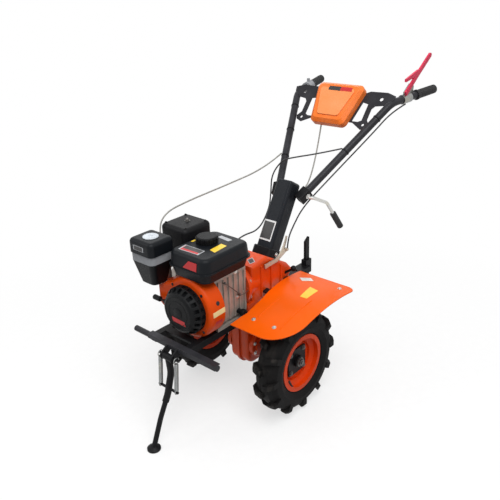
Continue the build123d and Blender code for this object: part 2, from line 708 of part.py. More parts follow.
def fuel_tank():
    """Two pressed shells joined at a lip, the upper one with a rounded top edge."""
    def level(z, trim):
        return Pos(TANK_X, TANK_Y, z) * RectangleRounded(TANK_L - 2 * trim, TANK_W - 2 * trim, TANK_CORNER)
    upper = loft([level(TANK_SEAM_Z, 0), level(TANK_TOP_Z, TANK_DRAFT)])
    upper = fillet(upper.faces().sort_by(Axis.Z)[-1].edges(), TANK_TOP_EDGE_R)
    lower = loft([level(TANK_BOTTOM_Z, TANK_BELLY), level(TANK_SEAM_Z, TANK_DRAFT / 2)])
    lip = extrude(level(TANK_SEAM_Z - TANK_LIP_T / 2, -TANK_LIP), TANK_LIP_T)
    return upper + lower + lip


def fuel_cap():
    """Ribbed filler cap."""
    rib = FUEL_CAP_RIB
    disc = Cylinder(FUEL_CAP_R - rib / 3, FUEL_CAP_H, align=(Align.CENTER, Align.CENTER, Align.MIN))
    cap = fillet(disc.edges().group_by(Axis.Z)[-1], rib / 1.5)
    for k in range(FUEL_CAP_RIBS):
        turn = Rot(Z=k * 360 / FUEL_CAP_RIBS)
        cap += turn * Pos(FUEL_CAP_R - rib / 2, 0, FUEL_CAP_H / 2 - 1) * Box(rib, rib, FUEL_CAP_H - rib)
    return Pos(FUEL_CAP_X, FUEL_CAP_Y, TANK_TOP_Z) * cap


def cleaner_level(z, trim):
    """A level section of the air cleaner."""
    size = (CLEANER_L - 2 * trim, CLEANER_W - 2 * trim)
    return Pos(CLEANER_X, CLEANER_Y, z) * RectangleRounded(*size, CLEANER_CORNER)


@cache
def air_cleaner_base():
    """Tapered lower housing of the air cleaner."""
    return loft([cleaner_level(CLEANER_FOOT_Z, CLEANER_TAPER), cleaner_level(CLEANER_BAND_Z, CLEANER_STEP)])


def air_cleaner_band():
    """Pale band between base and cover."""
    return extrude(cleaner_level(CLEANER_BAND_Z, CLEANER_STEP), CLEANER_BAND_H)


def air_cleaner_cover():
    """Cover with a rounded top edge."""
    cover = extrude(cleaner_level(CLEANER_COVER_Z, 0), CLEANER_COVER_H)
    return fillet(cover.edges().group_by(Axis.Z)[-1], CLEANER_TOP_EDGE_R)


def carburettor():
    """Carburettor body and float bowl between the head and the air cleaner."""
    y = CLEANER_Y - 1.4 * CARB_R
    rear_x = CYL_X + FIN_SIZE[0] / 2 - CARB_R
    body = cyl_x(CARB_R, rear_x, CLEANER_X, y, CARB_Z)
    hang = (Align.CENTER, Align.CENTER, Align.MAX)
    bowl = Pos(CASE_FRONT_X, y, CARB_Z) * Cylinder(BOWL_R, BOWL_H + BOWL_R, align=hang)
    whole = body + bowl - air_cleaner_base() - cylinder_head() - fan_shroud()
    return whole.solids().sort_by(SortBy.VOLUME)[-1]


def muffler_guard():
    """Pressed guard over the muffler, open underneath."""
    def shell(trim):
        plan = Pos(MUFFLER_X, MUFFLER_Y, GUARD_BOTTOM_Z) * RectangleRounded(
            GUARD_L - 2 * trim, GUARD_W - 2 * trim, GUARD_CORNER - trim)
        solid = extrude(plan, GUARD_H - trim)
        return fillet(solid.edges().group_by(Axis.Z)[-1], GUARD_EDGE_R - trim)
    return shell(0) - shell(GUARD_SHEET)


def muffler():
    """Muffler box inside the guard, its two studs and the pipe down to the head."""
    hang = (Align.CENTER, Align.CENTER, Align.MAX)
    bottom = GUARD_BOTTOM_Z - MUFFLER_DROP

    def shell(trim):
        plan = RectangleRounded(GUARD_L - 2 * trim, GUARD_W - 2 * trim, GUARD_CORNER - trim)
        solid = fillet(extrude(plan, GUARD_H - trim).edges().group_by(Axis.Z)[-1], GUARD_EDGE_R)
        return Pos(MUFFLER_X, MUFFLER_Y, bottom) * solid
    outer_trim = GUARD_SHEET + MUFFLER_GAP
    inside = shell(outer_trim + MUFFLER_WALL) - block(0, BUMPER_X, -BUMPER_HALF * 2, 0, 0, bottom + MUFFLER_WALL)
    box = shell(outer_trim) - inside
    for side in (-1, 1):
        x = MUFFLER_X + side * STUD_APART / 2
        box += Pos(x, MUFFLER_Y, GUARD_TOP_Z - GUARD_SHEET) * Cylinder(STUD_R, 4 * MUFFLER_GAP, align=hang)
    pipe = Pos(CYL_X, MUFFLER_Y - PIPE_R, GUARD_BOTTOM_Z) * Cylinder(PIPE_R, PIPE_L, align=hang)
    bore = Pos(CYL_X, MUFFLER_Y - PIPE_R, GUARD_BOTTOM_Z) * Cylinder(PIPE_R - MUFFLER_WALL, PIPE_L, align=hang)
    whole = box + (pipe - inside) - bore - cylinder_head() - crankcase()
    return whole.solids().sort_by(SortBy.VOLUME)[-1]


def oil_filler():
    """Oil filler cap low on the crankcase's open side."""
    face_y = CASE_LEFT_Y + CASE_RIB_PROUD + FOOT_MARGIN
    neck = cyl_y(OIL_NECK_R, CASE_LEFT_Y - FOOT_MARGIN, face_y, OIL_X, OIL_Z)
    cap = cyl_y(OIL_CAP_R, face_y, face_y + OIL_CAP_L, OIL_X, OIL_Z)
    cap = fillet(cap.edges().group_by(Axis.Y)[-1], OIL_CAP_R / 4)
    whole = neck + cap - crankcase()
    return whole.solids().sort_by(SortBy.VOLUME)[-1]


# Frame, bumper and stand

@cache
def bumper_bar():
    """Round bar of the bumper with an angle bar welded over it."""
    bar = cyl_y(BUMPER_R, -BUMPER_HALF, BUMPER_HALF, BUMPER_X, BUMPER_Z)
    front = BUMPER_X + BUMPER_R + ANGLE_T
    top = BUMPER_Z + BUMPER_R + ANGLE_T
    angle = block(front - ANGLE_W, front, ANGLE_RIGHT_Y, BUMPER_HALF, top - ANGLE_T, top)
    angle += block(front - ANGLE_T, front, ANGLE_RIGHT_Y, BUMPER_HALF, top - ANGLE_H, top)
    fill = block(BUMPER_X, front, ANGLE_RIGHT_Y, BUMPER_HALF, BUMPER_Z, top)
    return bar + angle + fill


def engine_frame():
    """Two hollow rails under the engine, a cross member and the plate that bolts to the case."""
    rails = []
    for y in (RAIL_RIGHT_Y, RAIL_LEFT_Y):
        outer = block(PAD_FRONT_X, BUMPER_X, y - RAIL / 2, y + RAIL / 2, BASE_Z - RAIL, BASE_Z)
        hole = RAIL / 2 - RAIL_WALL
        inner = block(PAD_FRONT_X, BUMPER_X, y - hole, y + hole, BASE_Z - RAIL + RAIL_WALL, BASE_Z - RAIL_WALL)
        rails.append(outer - inner)
    plate = block(PAD_FRONT_X, PAD_FRONT_X + FRAME_PLATE_T, RAIL_RIGHT_Y - RAIL / 2, RAIL_LEFT_Y + RAIL / 2,
                  BASE_Z - FRAME_PLATE_H, BASE_Z)
    cross = block(CROSS_X, CROSS_X + CROSS_L, RAIL_RIGHT_Y, RAIL_LEFT_Y, BASE_Z - CROSS_T, BASE_Z)
    return rails[0] + rails[1] + plate + cross - bumper_bar()


def stand_bracket():
    """Two ears under the bumper with the stand's pivot pin and the springs' anchors."""
    made = cyl_y(PIVOT_R, -STAND_SLEEVE_HALF - EAR_CLEAR, STAND_SLEEVE_HALF + EAR_CLEAR, PIVOT_X, PIVOT_Z)
    inner = STAND_SLEEVE_HALF + EAR_CLEAR
    lean = degrees(atan2(BUMPER_Z - PIVOT_Z, PIVOT_X - BUMPER_X))
    span = hypot(PIVOT_X - BUMPER_X, PIVOT_Z - BUMPER_Z)
    outline = SlotCenterToCenter(span, 2 * EAR_R)
    middle = ((PIVOT_X + BUMPER_X) / 2, 0, (PIVOT_Z + BUMPER_Z) / 2)
    ear = Pos(*middle) * Rot(Y=lean) * extrude(Plane.XZ * outline, EAR_T / 2, both=True)
    for side in (-1, 1):
        made += Pos(0, side * (inner + EAR_T / 2), 0) * ear
        ends = sorted((side * inner, side * (inner + EAR_T + ANCHOR_L)))
        made += cyl_y(ANCHOR_R, *ends, PIVOT_X - ANCHOR_OFFSET, PIVOT_Z)
    return (made - bumper_bar()).solids().sort_by(SortBy.VOLUME)[-1]


def stand_leg():
    """Swing-down leg: sleeve on the pivot, bent upper tube, thinner lower tube, foot and spring pin."""
    stand = (Align.CENTER, Align.CENTER, Align.MIN)
    sleeve = cyl_y(STAND_SLEEVE_R, -STAND_SLEEVE_HALF, STAND_SLEEVE_HALF, PIVOT_X, PIVOT_Z)
    back, middle, low = [(x, 0, z) for x, z in LEG_PATH]
    share = (middle[2] - LEG_STEP_Z) / (middle[2] - low[2])
    step = (middle[0] + share * (low[0] - middle[0]), 0, LEG_STEP_Z)
    upper = rod([(PIVOT_X, 0, PIVOT_Z), back, middle, step], LEG_R, LEG_BENDS)
    lower = rod([step, low, (FOOT_X, 0, FOOT_RIM)], LEG_LOW_R, [LEG_LOW_BEND])
    foot = Pos(FOOT_X, 0, 0) * Cylinder(FOOT_R, FOOT_RIM, align=stand)
    foot += Pos(FOOT_X, 0, FOOT_RIM) * Cone(FOOT_R, LEG_R, FOOT_H - FOOT_RIM, align=stand)
    pin_x, pin_z = SPRING_PIN
    pin = cyl_y(SPRING_PIN_R, -SPRING_Y - SPRING_R, SPRING_Y + SPRING_R, pin_x, pin_z)
    made = sleeve + upper + lower + foot + pin
    return made - cyl_y(PIVOT_R + RUN_CLEAR, -SPRING_Y, SPRING_Y, PIVOT_X, PIVOT_Z)


def stand_springs():
    """Pull springs beside the leg, from the anchors to the leg's pin, with an eye at each end."""
    pin_x, pin_z = SPRING_PIN
    along = Vector(pin_x - PIVOT_X, 0, pin_z - PIVOT_Z).normalized()
    head = Vector(PIVOT_X, SPRING_Y, PIVOT_Z)
    tail = Vector(pin_x, SPRING_Y, pin_z)
    small_eye = SPRING_PIN_R + SPRING_WIRE + EAR_CLEAR
    spring = rod([tuple(head + along * SPRING_EYE), tuple(tail - along * small_eye)], SPRING_R)
    spring += Pos(*head) * Rot(X=90) * Torus(SPRING_EYE, SPRING_WIRE)
    spring += Pos(*tail) * Rot(X=90) * Torus(small_eye, SPRING_WIRE)
    spring -= cyl_y(SPRING_PIN_R + RUN_CLEAR, 0, WHEEL_Y, pin_x, pin_z)
    spring -= cyl_y(SPRING_EYE - SPRING_WIRE, 0, WHEEL_Y, PIVOT_X, PIVOT_Z)
    return Compound([spring, mirrored(spring)])


# Column, handlebars and console

def column_place():
    """The column's own place: foot at its lower end, Z along it, X forward and up."""
    return Pos(*COLUMN_FOOT) * Rot(Y=-COLUMN_LEAN)


def column_bore():
    """Inside outline of the column and its foot block."""
    wall = COLUMN_WALL
    return RectangleRounded(COLUMN_D - 2 * wall, COLUMN_W - 2 * wall, COLUMN_CORNER - wall)


def column_base():
    """Foot block of the column on the upper case."""
    proud = COLUMN_BASE_PROUD
    plan = RectangleRounded(COLUMN_D + 2 * proud, COLUMN_W + 2 * proud, COLUMN_CORNER)
    foot = extrude(plan, COLUMN_BASE_T)
    foot = chamfer(foot.edges().group_by(Axis.Z)[-1], proud / 2)
    return column_place() * (foot - extrude(column_bore(), COLUMN_BASE_T))


@cache
def handle_column():
    """Box column with a rounded head."""
    body = extrude(RectangleRounded(COLUMN_D, COLUMN_W, COLUMN_CORNER), COLUMN_L)
    body = fillet(body.edges().group_by(Axis.Z)[-1], COLUMN_HEAD_R)
    body -= extrude(column_bore(), COLUMN_L - COLUMN_HEAD_R)
    return column_place() * Pos(0, 0, COLUMN_BASE_T) * body


@cache
def bar_space():
    """What the left handlebar takes up, with its bore."""
    return rod([BAR_FOOT, BAR_BEND, BAR_END], BAR_R, [BAR_BEND_R])


def handlebar():
    """Left handlebar tube: straight rise from the clamp, then nearly level to the grip."""
    return bar_space() - rod([BAR_FOOT, BAR_BEND, BAR_END], BAR_R - BAR_WALL, [BAR_BEND_R])


def grip():
    """Left rubber grip, closed at its end."""
    end = Vector(*BAR_END)
    start = end - BAR_DIR * GRIP_L
    sleeve = rod([tuple(start), tuple(end + BAR_DIR * GRIP_OVERHANG)], GRIP_R)
    collar = rod([tuple(start), tuple(start + BAR_DIR * GRIP_COLLAR_L)], GRIP_COLLAR_R)
    return sleeve + collar - bar_space()


@cache
def handlebar_clamp():
    """Clamp blocks that hold both bars against the column."""
    along = (Vector(*BAR_BEND) - Vector(*BAR_FOOT)).normalized()
    place = Plane(origin=BAR_FOOT, z_dir=along, x_dir=(0, 1, 0))
    across = 2 * (BAR_R + CLAMP_WALL)
    clamp = extrude(place * RectangleRounded(across, across, CLAMP_CORNER), CLAMP_L)
    inner = block(BAR_BEND[0], 0, -COLUMN_W, COLUMN_W / 2, BASE_Z, BAR_BEND[2])
    clamp = (clamp - inner - bar_space()).solids().sort_by(SortBy.VOLUME)[-1]
    return Compound([clamp, mirrored(clamp)])


def console_place():
    """Middle of the console's back: Z out of its face, Y up along it, X to the machine's left."""
    lean = radians(CONSOLE_LEAN)
    return Plane(origin=CONSOLE_MID, x_dir=(0, 1, 0), z_dir=(sin(lean), 0, cos(lean)))


def console_bracket():
    """Sheet bracket behind the console: on each side a lobe on the bar, a leg and a lower lobe, with a window."""
    rows = [             # across, up
        (0, 60),
        (100, 70),
        (128, 84),
        (205, 86),
        (244, 74),
        (240, 54),
        (218, 30),
        (172, 22),
        (161, 8),
        (161, -42),
        (178, -62),
        (172, -78),
        (148, -88),
        (122, -74),
        (100, -62),
        (0, -60),
    ]
    window = [(112, 33), (139, 27), (139, -48), (124, -56), (96, -56)]
    holes = [(188, 54, 8), (152, -66, 6)]        # across, up, radius
    half = make_face(Polyline(*rows, close=True)) - make_face(Polyline(*window, close=True))
    for across, up, radius in holes:
        half -= Pos(across, up) * Circle(radius)
    plate = half + mirror(half, about=Plane.YZ)
    sheet = extrude(console_place() * plate, -CONSOLE_PLATE_T)
    whole = sheet - bar_space() - mirrored(bar_space())
    return whole.solids().sort_by(SortBy.VOLUME)[-1]


def console_cover():
    """Moulded cover with a bevelled rim and a raised panel."""
    def level(z, trim):
        top, bottom, h = CONSOLE_TOP_W / 2 - trim, CONSOLE_BOTTOM_W / 2 - trim, CONSOLE_H / 2 - trim
        face = make_face(Polyline((-top, h), (top, h), (bottom, -h), (-bottom, -h), close=True))
        return Pos(0, 0, z) * fillet(face.vertices(), CONSOLE_CORNER - trim / 3)
    skirt_h = CONSOLE_DEPTH - CONSOLE_BEVEL
    skirt = extrude(level(0, 0), skirt_h)
    rim = loft([level(skirt_h, 0), level(CONSOLE_DEPTH, CONSOLE_BEVEL)])
    panel = extrude(level(CONSOLE_DEPTH, CONSOLE_PANEL_TRIM), CONSOLE_PANEL_T)
    inside = extrude(level(0, CONSOLE_WALL), skirt_h)
    return console_place().location * (skirt + rim + panel - inside)


# Controls

@cache
def clutch_lever():
    """Red lever that stands up from the left bar, with its safety tab."""
    y0, y1 = LEVER_Y, LEVER_Y + LEVER_T
    arm = side_plate(bent_strip(LEVER_PATH, LEVER_HALF_W), y0, y1)
    arm += cyl_y(LEVER_HALF_W, y0, y1, *LEVER_PATH[-1])
    return arm + side_plate(LEVER_TAB, y0, y1)


def clutch_bracket():
    """Steel bracket of the clutch lever: a sleeve on the left bar and a plate beside the lever."""
    start, end = (Vector(*BAR_END) - BAR_DIR * (GRIP_L + ahead) for ahead in CLUTCH_SLEEVE)
    made = rod([tuple(start), tuple(end)], CLUTCH_SLEEVE_R)
    made += side_plate(CLUTCH_PLATE, LEVER_Y - CLUTCH_PLATE_T, LEVER_Y)
    return made - bar_space() - clutch_lever()


def throttle_lever():
    """Thumb throttle on the right bar, next to the grip."""
    start, end = (Vector(*BAR_END) - BAR_DIR * (GRIP_L + ahead) for ahead in THROTTLE_SLEEVE)
    made = rod([tuple(start), tuple(end)], THROTTLE_R)
    middle = (start + end) / 2
    made += Pos(middle.X, middle.Y, middle.Z + THROTTLE_R) * Box(*THROTTLE_TAB)
    return mirrored(made - bar_space())


@cache
def lock_lever():
    """Cranked steel rod of the handlebar lock, on the left clamp."""
    crank = rod(LOCK_PATH, LOCK_R, LOCK_BENDS) - handlebar_clamp() - bar_space()
    return crank.solids().sort_by(SortBy.VOLUME)[-1]


def lock_grip():
    """Rubber sleeve on the cranked rod."""
    knee, end = (Vector(*p) for p in LOCK_PATH[-2:])
    along = (end - knee).normalized()
    sleeve = rod([tuple(end - along * LOCK_GRIP_L), tuple(end + along * LOCK_GRIP_CAP)], LOCK_GRIP_R)
    return sleeve - lock_lever()


def shift_lever():
    """Flat shift arm on the left of the upper case, with the pin of its cable."""
    y = UPPER_HALF_W + RIB_PROUD
    arm = side_plate(bent_strip(SHIFT_PATH, SHIFT_HALF_W), y, y + SHIFT_T)
    tip_x, tip_z = SHIFT_PATH[-1]
    return arm + cyl_y(SHIFT_PIN_R, y, y + SHIFT_PIN_L, tip_x, tip_z)


def selector_knob():
    """Short selector with a ball knob on the left of the upper case."""
    root = Vector(SELECTOR_ROOT[0], UPPER_HALF_W - SELECTOR_R, SELECTOR_ROOT[1])
    tip = Vector(SELECTOR_TIP[0], UPPER_HALF_W + SELECTOR_REACH, SELECTOR_TIP[1])
    ball = tip + (tip - root).normalized() * SELECTOR_BALL_R
    made = rod([tuple(root), tuple(ball)], SELECTOR_R) + Pos(*ball) * Sphere(SELECTOR_BALL_R)
    return made - transmission_case()


# Fenders and hitch

@cache
def fender_left():
    """Left fender: a sheet arched over the tyre, with rounded corners outside."""
    sheet = fender_arch(FENDER_ARCH_R) - fender_arch(FENDER_ARCH_R - FENDER_T)
    plan = make_face(Polyline(
        (FENDER_REAR_X, FENDER_REAR_Y),
        *FENDER_INNER,
        (FENDER_FRONT_X, FENDER_FRONT_Y),
        (FENDER_FRONT_X, FENDER_OUT_Y),
        (FENDER_REAR_X, FENDER_OUT_Y),
        close=True))
    corners = plan.vertices().group_by(Axis.Y)[-1].sort_by(Axis.X)
    plan = fillet(corners[-1:], FENDER_CORNER)
    corners = plan.vertices().group_by(Axis.X)[0].sort_by(Axis.Y)
    plan = fillet(corners[-1:], FENDER_REAR_CORNER)
    return sheet & extrude(plan, 2 * FENDER_Z)


def fender_arch(radius):
    """A drum along Y whose top is the arch of the left fender at that radius."""
    return cyl_y(radius, 0, 2 * FENDER_OUT_Y, FENDER_TOP_X, FENDER_Z - FENDER_ARCH_R)


def fender_right():
    """Right fender, cut away in front where the engine stands off the mid plane."""
    notch = block(FENDER_NOTCH_X, BUMPER_X, -FENDER_NOTCH_Y, 0, 0, 2 * FENDER_Z)
    return mirrored(fender_left()) - notch


def fender_struts():
    """Flat struts from the upper case out under each fender."""
    under = FENDER_ARCH_R - FENDER_T
    bars = fender_arch(under) - fender_arch(under - STRUT_T)
    made = []
    for x in STRUT_X:
        strut = bars & block(x - STRUT_W / 2, x + STRUT_W / 2, 0, FENDER_OUT_Y - STRUT_SHORT, 0, FENDER_Z)
        made += [strut, mirrored(strut)]
    case = transmission_case()
    return Compound([(piece - case).solids().sort_by(SortBy.VOLUME)[-1] for piece in made])


def rear_hitch():
    """Hitch behind the case: tongue with the pin hole and the socket of the depth stake."""
    tongue = block(HITCH_X, HITCH_FRONT_X, -TONGUE_HALF_W, TONGUE_HALF_W,
                   HITCH_Z - HITCH_PLATE_T / 2, HITCH_Z + HITCH_PLATE_T / 2)
    web = block(HITCH_FRONT_X - PAD_H / 2, HITCH_FRONT_X + TONGUE_HALF_W, -TONGUE_HALF_W, TONGUE_HALF_W,
                HITCH_Z, UPPER_REAR_LOW[1] + PAD_H / 4)
    half_l, half_w = STAKE_W / 2 + SOCKET_WALL, STAKE_T / 2 + SOCKET_WALL
    socket = block(HITCH_X - half_l, HITCH_X + half_l, -half_w, half_w,
                   HITCH_Z - SOCKET_H / 2, HITCH_Z + SOCKET_H / 2)
    made = tongue + web + socket
    made -= Pos(HITCH_PIN_X, 0, HITCH_Z) * Cylinder(HITCH_PIN_R, 4 * HITCH_PLATE_T)
    made -= block(HITCH_X - STAKE_W / 2, HITCH_X + STAKE_W / 2, -STAKE_T / 2, STAKE_T / 2, 0, 2 * HITCH_Z)
    whole = made - transmission_case()
    return whole.solids().sort_by(SortBy.VOLUME)[-1]


def depth_stake():
    """Flat depth stake in the hitch, slanted at its head and pointed below."""
    front, rear = HITCH_X + STAKE_W / 2, HITCH_X - STAKE_W / 2
    rows = [             # x, z
        (front, STAKE_BOTTOM_Z + STAKE_POINT),
        (HITCH_X, STAKE_BOTTOM_Z),
        (rear, STAKE_BOTTOM_Z + STAKE_POINT),
        (rear, STAKE_TOP_Z),
        (front, STAKE_TOP_Z - STAKE_SLANT),
    ]
    return side_plate(rows, -STAKE_T / 2, STAKE_T / 2)


PIECES = {
    "transmission_case": transmission_case,
    "axle_bearing_caps": axle_caps,
    "crankcase": crankcase,
    "cylinder_head": cylinder_head,
    "fan_shroud": fan_shroud,
    "recoil_starter": recoil_starter,
    "starter_grip": starter_grip,
    "fuel_tank": fuel_tank,
    "fuel_cap": fuel_cap,
    "air_cleaner_base": air_cleaner_base,
    "air_cleaner_band": air_cleaner_band,
    "air_cleaner_cover": air_cleaner_cover,
    "carburettor": carburettor,
    "muffler_guard": muffler_guard,
    "muffler": muffler,
    "oil_filler": oil_filler,
    "engine_frame": engine_frame,
    "front_bumper": bumper_bar,
    "stand_bracket": stand_bracket,
    "stand_leg": stand_leg,
    "stand_springs": stand_springs,
    "column_base": column_base,
    "handle_column": handle_column,
    "handlebar_clamp": handlebar_clamp,
    "console_bracket": console_bracket,
    "console_cover": console_cover,
    "clutch_lever": clutch_lever,
    "clutch_bracket": clutch_bracket,
    "throttle_lever": throttle_lever,
    "lock_lever": lock_lever,
    "lock_grip": lock_grip,
    "shift_lever": shift_lever,
    "selector_knob": selector_knob,
    "fender_left": fender_left,
    "fender_right": fender_right,
    "fender_struts": fender_struts,
    "rear_hitch": rear_hitch,
    "depth_stake": depth_stake,
}
CABLES = {
    "throttle_cable": THROTTLE_CABLE,
    "stop_wire": STOP_WIRE,
    "console_wire": CONSOLE_WIRE,
    "clutch_cable": CLUTCH_CABLE,
}
PAIRS = {
    "tyre": tyre,
    "rim": rim,
    "hub": hub,
    "half_shaft": half_shaft,
    "handlebar": handlebar,
    "grip": grip,
}


def main():
    os.makedirs("parts", exist_ok=True)
    shift = Pos(AXLE_X, 0, 0)
    for name, make in PIECES.items():
        export_step(shift * make(), f"parts/{name}.step")
    for name, points in CABLES.items():
        export_step(shift * cable(points), f"parts/{name}.step")
    for name, make in PAIRS.items():
        left = make()
        export_step(shift * left, f"parts/{name}_left.step")
        export_step(shift * mirrored(left), f"parts/{name}_right.step")


main()
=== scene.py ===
"""Looks of a walk-behind power weeder: finishes, small parts, cables and studio.

Laid out as a Blender add-on and run as a script. Places are in millimetres in the axle frame:
X forward and Y left from the ground under the axle, Z up.
"""

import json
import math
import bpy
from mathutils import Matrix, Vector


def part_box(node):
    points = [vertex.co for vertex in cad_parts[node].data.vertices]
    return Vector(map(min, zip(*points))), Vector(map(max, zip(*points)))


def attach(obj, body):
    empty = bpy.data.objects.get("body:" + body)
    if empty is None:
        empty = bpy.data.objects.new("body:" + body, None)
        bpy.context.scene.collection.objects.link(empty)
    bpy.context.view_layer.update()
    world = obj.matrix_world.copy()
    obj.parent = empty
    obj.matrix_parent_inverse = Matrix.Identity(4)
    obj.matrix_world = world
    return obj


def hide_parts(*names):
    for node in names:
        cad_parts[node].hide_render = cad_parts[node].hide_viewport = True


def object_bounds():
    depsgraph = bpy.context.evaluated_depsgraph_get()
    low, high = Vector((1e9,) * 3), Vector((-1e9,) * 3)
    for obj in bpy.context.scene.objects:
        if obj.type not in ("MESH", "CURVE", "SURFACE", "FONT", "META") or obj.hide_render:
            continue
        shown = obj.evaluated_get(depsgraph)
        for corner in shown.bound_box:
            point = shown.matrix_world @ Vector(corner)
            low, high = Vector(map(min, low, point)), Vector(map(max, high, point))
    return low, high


bl_info = {
    "name": "Power weeder looks",
    "version": (1, 0, 0),
    "blender": (4, 5, 0),
    "location": "View3D > Sidebar > Weeder",
    "description": "Finishes, small parts, cables and studio of a walk-behind power weeder",
    "category": "Object",
}

import bmesh
import bpy
from bpy.props import FloatProperty, FloatVectorProperty, IntProperty, PointerProperty
from mathutils import Matrix, Vector

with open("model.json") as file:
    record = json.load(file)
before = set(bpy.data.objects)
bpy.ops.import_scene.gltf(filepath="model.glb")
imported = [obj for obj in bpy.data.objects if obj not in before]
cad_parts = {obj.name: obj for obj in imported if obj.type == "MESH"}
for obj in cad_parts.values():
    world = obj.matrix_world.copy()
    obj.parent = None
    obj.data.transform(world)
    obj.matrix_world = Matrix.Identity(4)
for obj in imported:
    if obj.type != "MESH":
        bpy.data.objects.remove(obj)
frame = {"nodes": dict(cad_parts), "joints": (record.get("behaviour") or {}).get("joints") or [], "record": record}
CAD_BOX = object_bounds()
NODES = frame["nodes"]
JOINTS = {joint["name"]: joint for joint in frame["joints"]}
AXLE = Vector(JOINTS["wheel_left_roll"]["pos_m"])
PIVOT = Vector(JOINTS["stand_fold"]["pos_m"])
MM = 0.001
UP = (0, 0, 1)
DOWN = (0, 0, -1)
AHEAD = (1, 0, 0)
BACK = (-1, 0, 0)
RIGHT = (0, -1, 0)
WHITE = (1.0, 1.0, 1.0, 1.0)
TOUCH_FROM = 0.12                    # metres before a place, where a line to it starts
STICKER_SUNK = 0.2                   # underside of a sticker inside its solid

# Camera, solved from the photograph
PHOTO_SIDE = 500                     # pixels
CAMERA_PLACE = (1562.11, 1422.42, 1536.55)
CAMERA_YAW = 221.79                  # degrees
CAMERA_PITCH = -23.96
CAMERA_ROLL = -1.88
CAMERA_FOCAL = 609.41                # pixels
SENSOR = 36.0

# Cables: the routes of the solids
CABLE_R = 3.0
THROTTLE_CABLE = (
    (-393, -131, 867), (-283, -132, 828), (-99, -190, 790), (60, -224, 768),
    (184, -232, 752), (226, -225, 690), (226, -198, 584.4),
)
STOP_WIRE = (
    (-451, 129.3, 912.6), (-385, 60, 896), (-327, -20, 881), (-338, -84, 858),
    (-303, -112, 800), (-292, -108, 728), (-250, -84, 672), (-140, -47, 624),
    (-40, -41, 636), (6, -40, 626), (10, -40, 574), (61.7, -40, 574),
)
CONSOLE_WIRE = (
    (-549, -40, 972), (-520, -36, 880), (-437, -8, 782), (-352, 20, 746), (-294, 24, 752),
)
CLUTCH_CABLE = (
    (-728, 246, 1054), (-630, 238, 1036), (-560, 206, 968), (-380, 112, 796),
    (-286, 60, 700), (-212, 66, 640), (-172, 74, 606), (-166, 75, 569),
)

# Wheels
HUB_FACE = 248.0                     # outer face of the hub plate, from the mid plane
HUB_BOLT_REACH = 39.0
HUB_TUBE_END = 262.0
WHEEL_MID = 236.0
VALVE_PLACE = (52.0, 60.0, -68.0)    # from the middle of the wheel
VALVE_LEAN = (0.35, -0.45)
VALVE = ((-1, 0), (-1, 6), (2, 6), (5, 4.4), (16, 3.6), (16.5, 4.2), (25, 4.2), (26, 3.4), (26, 0))
AXLE_NUT = 1.9                       # times a hub bolt
SIDES = (1, -1)

# Gear case
CAP_FACE = 68.0
CAP_BOLT_R = 41.0
CAP_BOLTS = 6
CRANK = (-14.0, 473.0)               # y and z of the engine's shaft
BELL_FACE = 48.0
BELL_BOLT_R = 83.0
BELL_BOLTS = 8
CASE_TOP = 600.0                     # z above the gear case

# Engine trim: turned rows are distance along the axis and radius
CRANKCASE_LEFT = 62.0
CRANKCASE_BOLTS = ((110, 464), (72, 472), (117, 569), (196, 420))      # x and z
STARTER_SCREW_R = 103.0
STARTER_SCREWS = 4
STARTER_FACE = 346.0
STARTER_RINGS = (62.0, 46.0)         # radii
STARTER_RING_WIRE = 1.1
STARTER_DISC = ((0, 0), (-2, 20), (1.0, 20), (2.2, 17), (2.6, 0))
SHROUD_FRONT = 300.0
SHROUD_PLUG_PLACE = (255, 96, 512)
SHROUD_PLUG = ((-1, 0), (-1, 8), (0.8, 8), (1.6, 6.5), (1.6, 4), (0.6, 3.2), (0.6, 0))
GOVERNOR_ROD = ((183, 68, 551), (178, 68, 546), (112, 68, 480), (107, 68, 474))
GOVERNOR_WIRE = ((60, 67, 474), (86, 68, 470), (107, 68, 472))
GOVERNOR_POST = 71.0                 # y of the posts' outer ends
GOVERNOR_ROD_R = 1.8
GOVERNOR_WIRE_R = 1.4
GUARD_TOP = 720.0                    # z at the top of the muffler guard
GUARD_SCREWS = ((84, -225), (184, -225), (84, -119), (184, -119))      # x and y
GUARD_NUT = (125.0, -172.0)
GUARD_NUT_PARTS = (                  # corners, and turned rows, of the washer, the nut and its cap
    (32, ((-1, 0), (-1, 11), (1.2, 11), (1.7, 10), (1.7, 0))),
    (6, ((1.5, 0), (1.5, 7), (6, 7), (6.8, 6.2), (6.8, 0))),
    (28, ((6.6, 0), (6.6, 6), (9, 5), (11, 2.8), (11.6, 0))),
)
LOUVRE = {"Length": 0.07, "Width": 0.007, "Depth": 0.005}
LOUVRES = 5
LOUVRE_LOW = 0.24                    # shares of the guard's height
LOUVRE_STEP = 0.13
TANK_TOP = 684.0
TANK_FRONT = 306.0
CLEANER_FRONT = 365.0
CLEANER_MID = (305.0, -172.0)
CLEANER_DISC_R = 29.0

